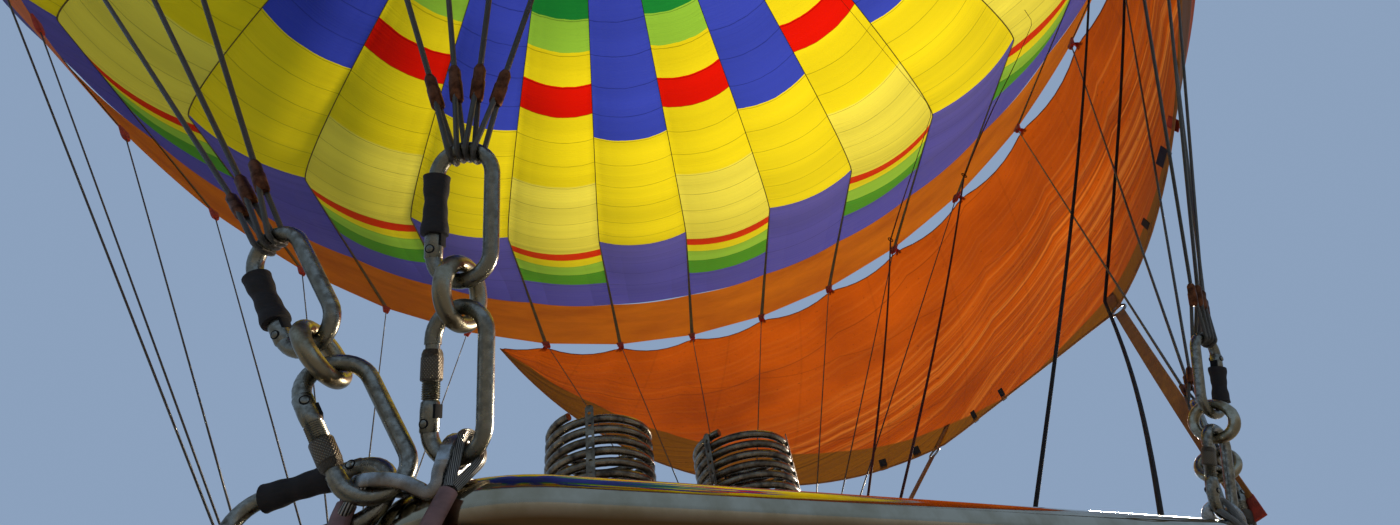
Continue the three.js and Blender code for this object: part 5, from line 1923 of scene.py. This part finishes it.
@dataclass
class Basket:
    """Woven walls, padded rim, floor, runners, padded uprights and four fuel cylinders."""

    stakes: int = 86
    weaver: float = 0.0161
    weave: float = 0.005
    step_size: tuple[float, float] = (0.22, 0.12)
    step_height: float = -1.5
    step_spacing: float = 0.62
    runner: tuple[float, float] = (0.06, 0.04)
    cylinder_radius: float = 0.155
    cylinder_height: float = 0.8
    cylinder_clear: float = 0.008
    corners: tuple[tuple[str, int, int], ...] = (
        ("front_left", -1, -1), ("front_right", 1, -1), ("back_right", 1, 1), ("back_left", -1, 1))

    def build(self) -> None:
        """Builds the basket from the runners up."""
        self.walls()
        self.step_frames()
        self.rim()
        self.floor()
        for name, sx, sy in self.corners:
            self.upright(name, sx, sy)
            self.cylinder(name, sx, sy)

    def in_step(self, point: Vector) -> bool:
        """Whether a point of the wall lies in one of the foot holes."""
        if abs(point.x) < BASKET_WIDTH / 2 - BASKET_CORNER:
            return False
        across = abs(abs(point.y) - self.step_spacing / 2) < self.step_size[0] / 2
        return across and abs(point.z - FRAME_Z - self.step_height) < self.step_size[1] / 2

    def walls(self) -> None:
        """Weavers pass in front of and behind the stakes in turn."""
        path = rounded_rectangle(BASKET_WIDTH - WALL, BASKET_DEPTH - WALL, BASKET_CORNER - WALL / 2,
                                 at(0, 0, FLOOR_TOP), 10)
        columns = self.stakes * 4
        loop = spaced(path, columns)
        low, high = 0.012, WALL_TOP - FLOOR_TOP - 0.004
        count = round((high - low) / self.weaver) * 2
        points = []
        for row in range(count + 1):
            rise = low + (high - low) * row / count
            order = 1 if (row // 2) % 2 else -1
            for column, (point, way) in enumerate(loop):
                out = way.cross(Z)
                weave = self.weave * order * cos(pi * column / 4) if row % 2 else 0.0
                points.append(point + Z * rise + out * weave)
        faces = []
        for row in range(count):
            for column in range(columns):
                turn = (column + 1) % columns
                corners = (row * columns + column, row * columns + turn,
                           (row + 1) * columns + turn, (row + 1) * columns + column)
                if not self.in_step((points[corners[0]] + points[corners[2]]) / 2):
                    faces.append(corners)
        piece = mesh_piece("woven_walls", points, faces)
        modified(piece, "SOLIDIFY", thickness=0.012, offset=0)
        piece.data.shade_smooth()
        install(dress(piece, CANE), "wicker", "basket_walls")

    def step_frames(self) -> None:
        """Leather sewn round the edge of each foot hole, and a scuff band at the foot of the walls."""
        width, height = self.step_size
        loops = []
        for sx in (-1, 1):
            for sy in (-1, 1):
                centre = at(sx * (BASKET_WIDTH / 2 - WALL / 2), sy * self.step_spacing / 2, self.step_height)
                path = rounded_rectangle(width, height, 0.02, centre, 5, Y, Z)
                loops.append(rod("step_edge", path, 0.015, 12, closed=True))
        band = rounded_rectangle(BASKET_WIDTH - 0.008, BASKET_DEPTH - 0.008, BASKET_CORNER - 0.004,
                                 at(0, 0, FLOOR_TOP + 0.055), 10)
        ways = [(band[(i + 1) % len(band)] - band[i - 1]).normalized().cross(Z) for i in range(len(band))]
        loops.append(strap("scuff_band", band, ways, 0.10, 0.004, 0.001, closed=True))
        fit("sewn_leather_edges", loops, "leather", finish=RIM_LEATHER)

    def rim(self) -> None:
        """A padded leather rim, drawn in by the thong that laces it."""
        path = rounded_rectangle(BASKET_WIDTH - WALL, BASKET_DEPTH - WALL, BASKET_CORNER - WALL / 2,
                                 at(0, 0, WALL_TOP + 0.0003 + RIM_RADIUS), 10)
        laces = 78
        loop = [point for point, _ in spaced(path, laces * 4)]
        radii = [RIM_RADIUS * (0.985 + 0.015 * cos(2 * pi * (i % 4 - 2) / 4)) for i in range(len(loop))]
        pad = dress(rod("padded_rim", loop, RIM_RADIUS, 20, closed=True, radii=radii), RIM_LEATHER)
        install(pad, "leather", "basket_rim")
        thongs = []
        for point, way in spaced(path, laces):
            out = way.cross(Z)
            thongs.append(rod("lace", arc(point + way * 0.004, -Z, out, RIM_RADIUS + 0.0005,
                                          radians(-120), radians(120), 10), 0.0022, 6))
        fit("rim_lacing", thongs, "leather", finish=LEATHER_THONG)

    def floor(self) -> None:
        """A plywood floor on a ladder of runners."""
        outline = rounded_rectangle(BASKET_WIDTH, BASKET_DEPTH, BASKET_CORNER, Vector(), 12)
        deck = plate("floor_board", outline, [], FLOOR_THICK, 0.002)
        deck.data.transform(Matrix.Translation(at(0, 0, FLOOR_TOP - FLOOR_THICK / 2)))
        tread = block("tread", at(0, 0, FLOOR_TOP), (0.50, 1.30, 0.012), 0.0015)
        install(dress(joined("floor_board_and_tread", [deck, tread]), BIRCH_PLY), "plywood", "basket_floor")
        wide, tall = self.runner
        length, reach = BASKET_DEPTH - 0.16, BASKET_WIDTH - 0.16
        height = FLOOR_TOP - FLOOR_THICK - 0.0003 - tall / 2
        bars = [block("runner", at(side * (reach - wide) / 2, 0, height), (wide, length, tall), 0.008)
                for side in (-1, 0, 1)]
        bars += [block("cross", at(0, side * (length - wide) / 2, height), (reach - 0.01, wide, tall - 0.002),
                       0.006) for side in (-1, 1)]
        fit("wood_runners", bars, "plywood", "basket_runners", finish=ASH_WOOD)

    def upright(self, name: str, sx: int, sy: int) -> None:
        """A rod in a laced leather cover, from the rim to the corner of the load frame."""
        def corner(width: float, depth: float, bend: float, z: float) -> Vector:
            """The middle of a round corner."""
            inward = bend * (1 - sqrt(0.5))
            return at(sx * (width / 2 - inward), sy * (depth / 2 - inward), z)
        low = corner(BASKET_WIDTH - WALL, BASKET_DEPTH - WALL, BASKET_CORNER - WALL / 2,
                     WALL_TOP + 0.0006 + 2 * RIM_RADIUS)
        high = corner(FRAME_WIDTH, FRAME_DEPTH, FRAME_BEND, -FRAME_TUBE - 0.0003)
        steps = 36
        points = [low.lerp(high, step / steps) for step in range(steps + 1)]
        radii = [0.0285 + 0.0012 * cos(2 * pi * step / 4) - 0.006 * (step in (0, steps))
                 for step in range(steps + 1)]
        pad = dress(rod(f"upright_cover_{name}", points, 0.03, 24, radii=radii), RIM_LEATHER)
        install(pad, "leather", f"upright_{name}")
        way = (high - low).normalized()
        inward = Vector((-sx, -sy, 0)).normalized()
        side = way.cross(inward)
        stitches = []
        for step in range(1, 36):
            centre = low.lerp(high, step / 36) + inward * 0.0282
            slant = 0.006 if step % 2 else -0.006
            stitches.append(rod("stitch", [centre - side * 0.008 - way * slant,
                                           centre + inward * 0.0012,
                                           centre + side * 0.008 + way * slant], 0.0014, 6))
        fit(f"upright_lacing_{name}", stitches, "leather", finish=LEATHER_THONG)

    def cylinder(self, name: str, sx: int, sy: int) -> None:
        """A fuel cylinder in a padded canvas cover, with its collar and valve."""
        inset = WALL + self.cylinder_radius + self.cylinder_clear
        foot = at(sx * (BASKET_WIDTH / 2 - inset), sy * (BASKET_DEPTH / 2 - inset), FLOOR_TOP + 0.0005)
        radius, height = self.cylinder_radius, self.cylinder_height
        rise = height * 0.86
        profile = [(radius * 0.86, 0.0), (radius * 0.93, 0.008), (radius * 0.985, 0.03)]
        profile += [(radius * (0.975 + 0.02 * sin(pi * step / 14 * 3) ** 2),
                     0.05 + (rise - 0.05) * step / 14) for step in range(15)]
        profile += [(radius * 0.93, rise + 0.03), (radius * 0.82, rise + 0.055),
                    (radius * 0.74, height * 0.945)]
        cover = dress(turned(f"cylinder_cover_{name}", foot, profile, 40), COVER_CLOTH)
        install(cover, "cylinder_cover", f"fuel_cylinder_{name}")
        bands = []
        for height_share in (0.28, 0.62):
            centre = foot + Z * height * height_share
            loop = circle(centre, X, Y, radius + 0.0005, 40)
            outs = [(point - centre).normalized() for point in loop]
            bands.append(strap("band", loop, outs, 0.038, 0.004, 0.001, closed=True))
            inward = Vector((-sx, -sy, 0)).normalized()
            bands.append(dress(block("buckle", centre + inward * (radius + 0.006), (0.02, 0.02, 0.05), 0.003),
                               PLATE_STEEL))
        for band in bands[::2]:
            dress(band, TAN_WEBBING)
        top = foot + Z * height * 0.945
        collar = turned("collar", top, (
            (radius * 0.60, -0.03), (radius * 0.60, 0.030), (radius * 0.57, 0.034), (radius * 0.54, 0.034),
            (radius * 0.54, 0.0)), 36)
        valve = turned("valve", top - Z * 0.01, (
            (0.03, 0.0), (0.03, 0.018), (0.018, 0.022), (0.018, 0.04), (0.01, 0.042), (0.01, 0.046)), 24)
        wheel = hoop("wheel", top + Z * 0.034, X, Y, 0.024, 28, 0.005, 10)
        spokes = [rod("spoke", [top + Z * 0.034, top + Z * 0.034 + 0.024 * Vector((cos(a), sin(a), 0))],
                      0.003, 8) for a in (0.4, 2.5, 4.6)]
        for piece in (valve, wheel, *spokes):
            dress(piece, BRASS)
        fit(f"cylinder_fittings_{name}", [dress(collar, PLATE_STEEL), valve, wheel, *spokes, *bands],
            "burner_alloy")


# Operating lines


@dataclass
class ControlLines:
    """Lines made fast on the right tube of the load frame, which run up through the mouth."""

    radius: float = 0.0045
    slack: float = 0.035
    # Each line's finish, its place on the tube, its gore, and whether it passes the scoop's low corner
    lines: tuple[tuple[str, Finish, float, float, bool], ...] = (
        ("valve_line", RED_LINE, 0.390, 9.0, False),
        ("vent_line_left", RED_LINE, 0.335, 10.2, False),
        ("vent_line_right", BLACK_LINE, -0.200, 12.6, False),
        ("scoop_line", BLACK_LINE, -0.505, 13.6, True),
    )
    pulley: float = 12.0

    def build(self) -> None:
        """Builds each line, from its knot on the tube to a ring at the mouth and up inside the bag."""
        scoop = Scoop()
        low_corner = scoop.point(-scoop.corner_share, 0.97, -0.03)
        for name, finish, y, gore, by_corner in self.lines:
            tube = at(FRAME_WIDTH / 2, y, 0)
            knot = arc(tube, Z, X, FRAME_TUBE + self.radius, 0, 3.6 * pi, 40)
            knot = [point + Y * 0.010 * step / len(knot) for step, point in enumerate(knot)]
            ring = BAG.point(0.05, gore, -0.045)
            stops = [knot[0], low_corner, ring] if by_corner else [knot[0], ring]
            free = [low.lerp(high, step / 16) + X * self.slack * sin(pi * step / 16)
                    for low, high in zip(stops, stops[1:]) for step in range(1, 17)]
            inside = [BAG.point(self.pulley * step / 12, gore, -0.05) for step in range(1, 13)]
            rope = dress(rod(name, [*reversed(knot), *free, *inside], self.radius, 10), finish)
            hoops = [dress(hoop("hoop", place, X, Z, 0.016, 20, 0.003, 8),
                           COPPER) for place in (ring, inside[-1])]
            fit(f"{name}_on_frame", [rope, *hoops], "webbing")
        self.valve_pull(BAG.point(self.pulley, self.lines[0][3], -0.05))

    def valve_pull(self, inside_from: Vector) -> None:
        """The upper run of the valve line, from its pulley to the knot under the valve."""
        knot = Vector((0, 0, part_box("parachute_valve")[0].z - 2.6))
        points = [inside_from.lerp(knot, step / 24) for step in range(25)]
        piece = dress(rod("valve_line_to_valve", points, self.radius, 8), RED_LINE)
        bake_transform(piece)
        LOG.info("%s: %d faces between balloon and valve", piece.name, len(piece.data.polygons))


# Studio


@dataclass
class Studio:
    """Camera, light and backdrop."""

    position: tuple[float, float, float] = (-0.5386, -1.0895, -14.4408)
    yaw: float = radians(32.48)
    pitch: float = radians(43.66)
    roll: float = radians(-11.42)
    lens: float = 16.35
    sun_azimuth: float = radians(26)
    sun_height: float = radians(16)

    def build(self) -> None:
        """Sets the camera, the floor and the light."""
        self.camera()
        self.floor()
        self.light()

    def camera(self) -> None:
        """The camera looks up from just outside the front of the load frame."""
        bpy.ops.object.camera_add()
        camera = bpy.context.object
        camera.name = "camera"
        camera.matrix_world = (
            Matrix.Translation(self.position) @ Matrix.Rotation(-self.yaw, 4, "Z")
            @ Matrix.Rotation(pi / 2 + self.pitch, 4, "X") @ Matrix.Rotation(self.roll, 4, "Z"))
        camera.data.lens = self.lens
        camera.data.sensor_width = 36
        camera.data.clip_start = 0.02
        camera.data.clip_end = 2000
        bpy.context.scene.camera = camera

    def floor(self) -> None:
        """A plain pale floor under the runners."""
        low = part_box("basket_runners")[0].z
        deselect()
        bpy.ops.mesh.primitive_plane_add(size=900, location=(0, 0, low - 0.001))
        floor = named("studio_floor")
        made = bpy.data.materials.new("pale_studio_floor")
        made.use_nodes = True
        shader = made.node_tree.nodes["Principled BSDF"]
        shader.inputs["Base Color"].default_value = linear("#c6c4c0")
        shader.inputs["Roughness"].default_value = 0.85
        floor.data.materials.append(made)

    def light(self) -> None:
        """Soft daylight all round, and a warm low light from the right behind the scoop."""
        scene = bpy.context.scene
        world = bpy.data.worlds.new("studio_world")
        world.use_nodes = True
        tree = world.node_tree
        back = tree.nodes["Background"]
        back.inputs["Color"].default_value = linear("#8fa5c2")
        back.inputs["Strength"].default_value = 0.95
        scene.world = world
        scene.view_settings.view_transform = "Standard"
        turn = (pi / 2 - self.sun_height, 0, pi / 2 + self.sun_azimuth)
        bpy.ops.object.light_add(type="SUN", rotation=turn)
        sun = bpy.context.object
        sun.name = "low_sun"
        sun.data.energy = 4.6
        sun.data.angle = radians(9)
        sun.data.color = linear("#fff0dc")[:3]


def main() -> None:
    """Builds the balloon's pieces in order."""
    logging.basicConfig(level=logging.INFO, format="%(name)s %(message)s")
    Studio().build()
    Envelope().build()
    Rigging().build()
    LoadFrame().build()
    Scoop().build()
    Burners().build()
    Basket().build()
    ControlLines().build()


if __name__ == "__main__":
    main()
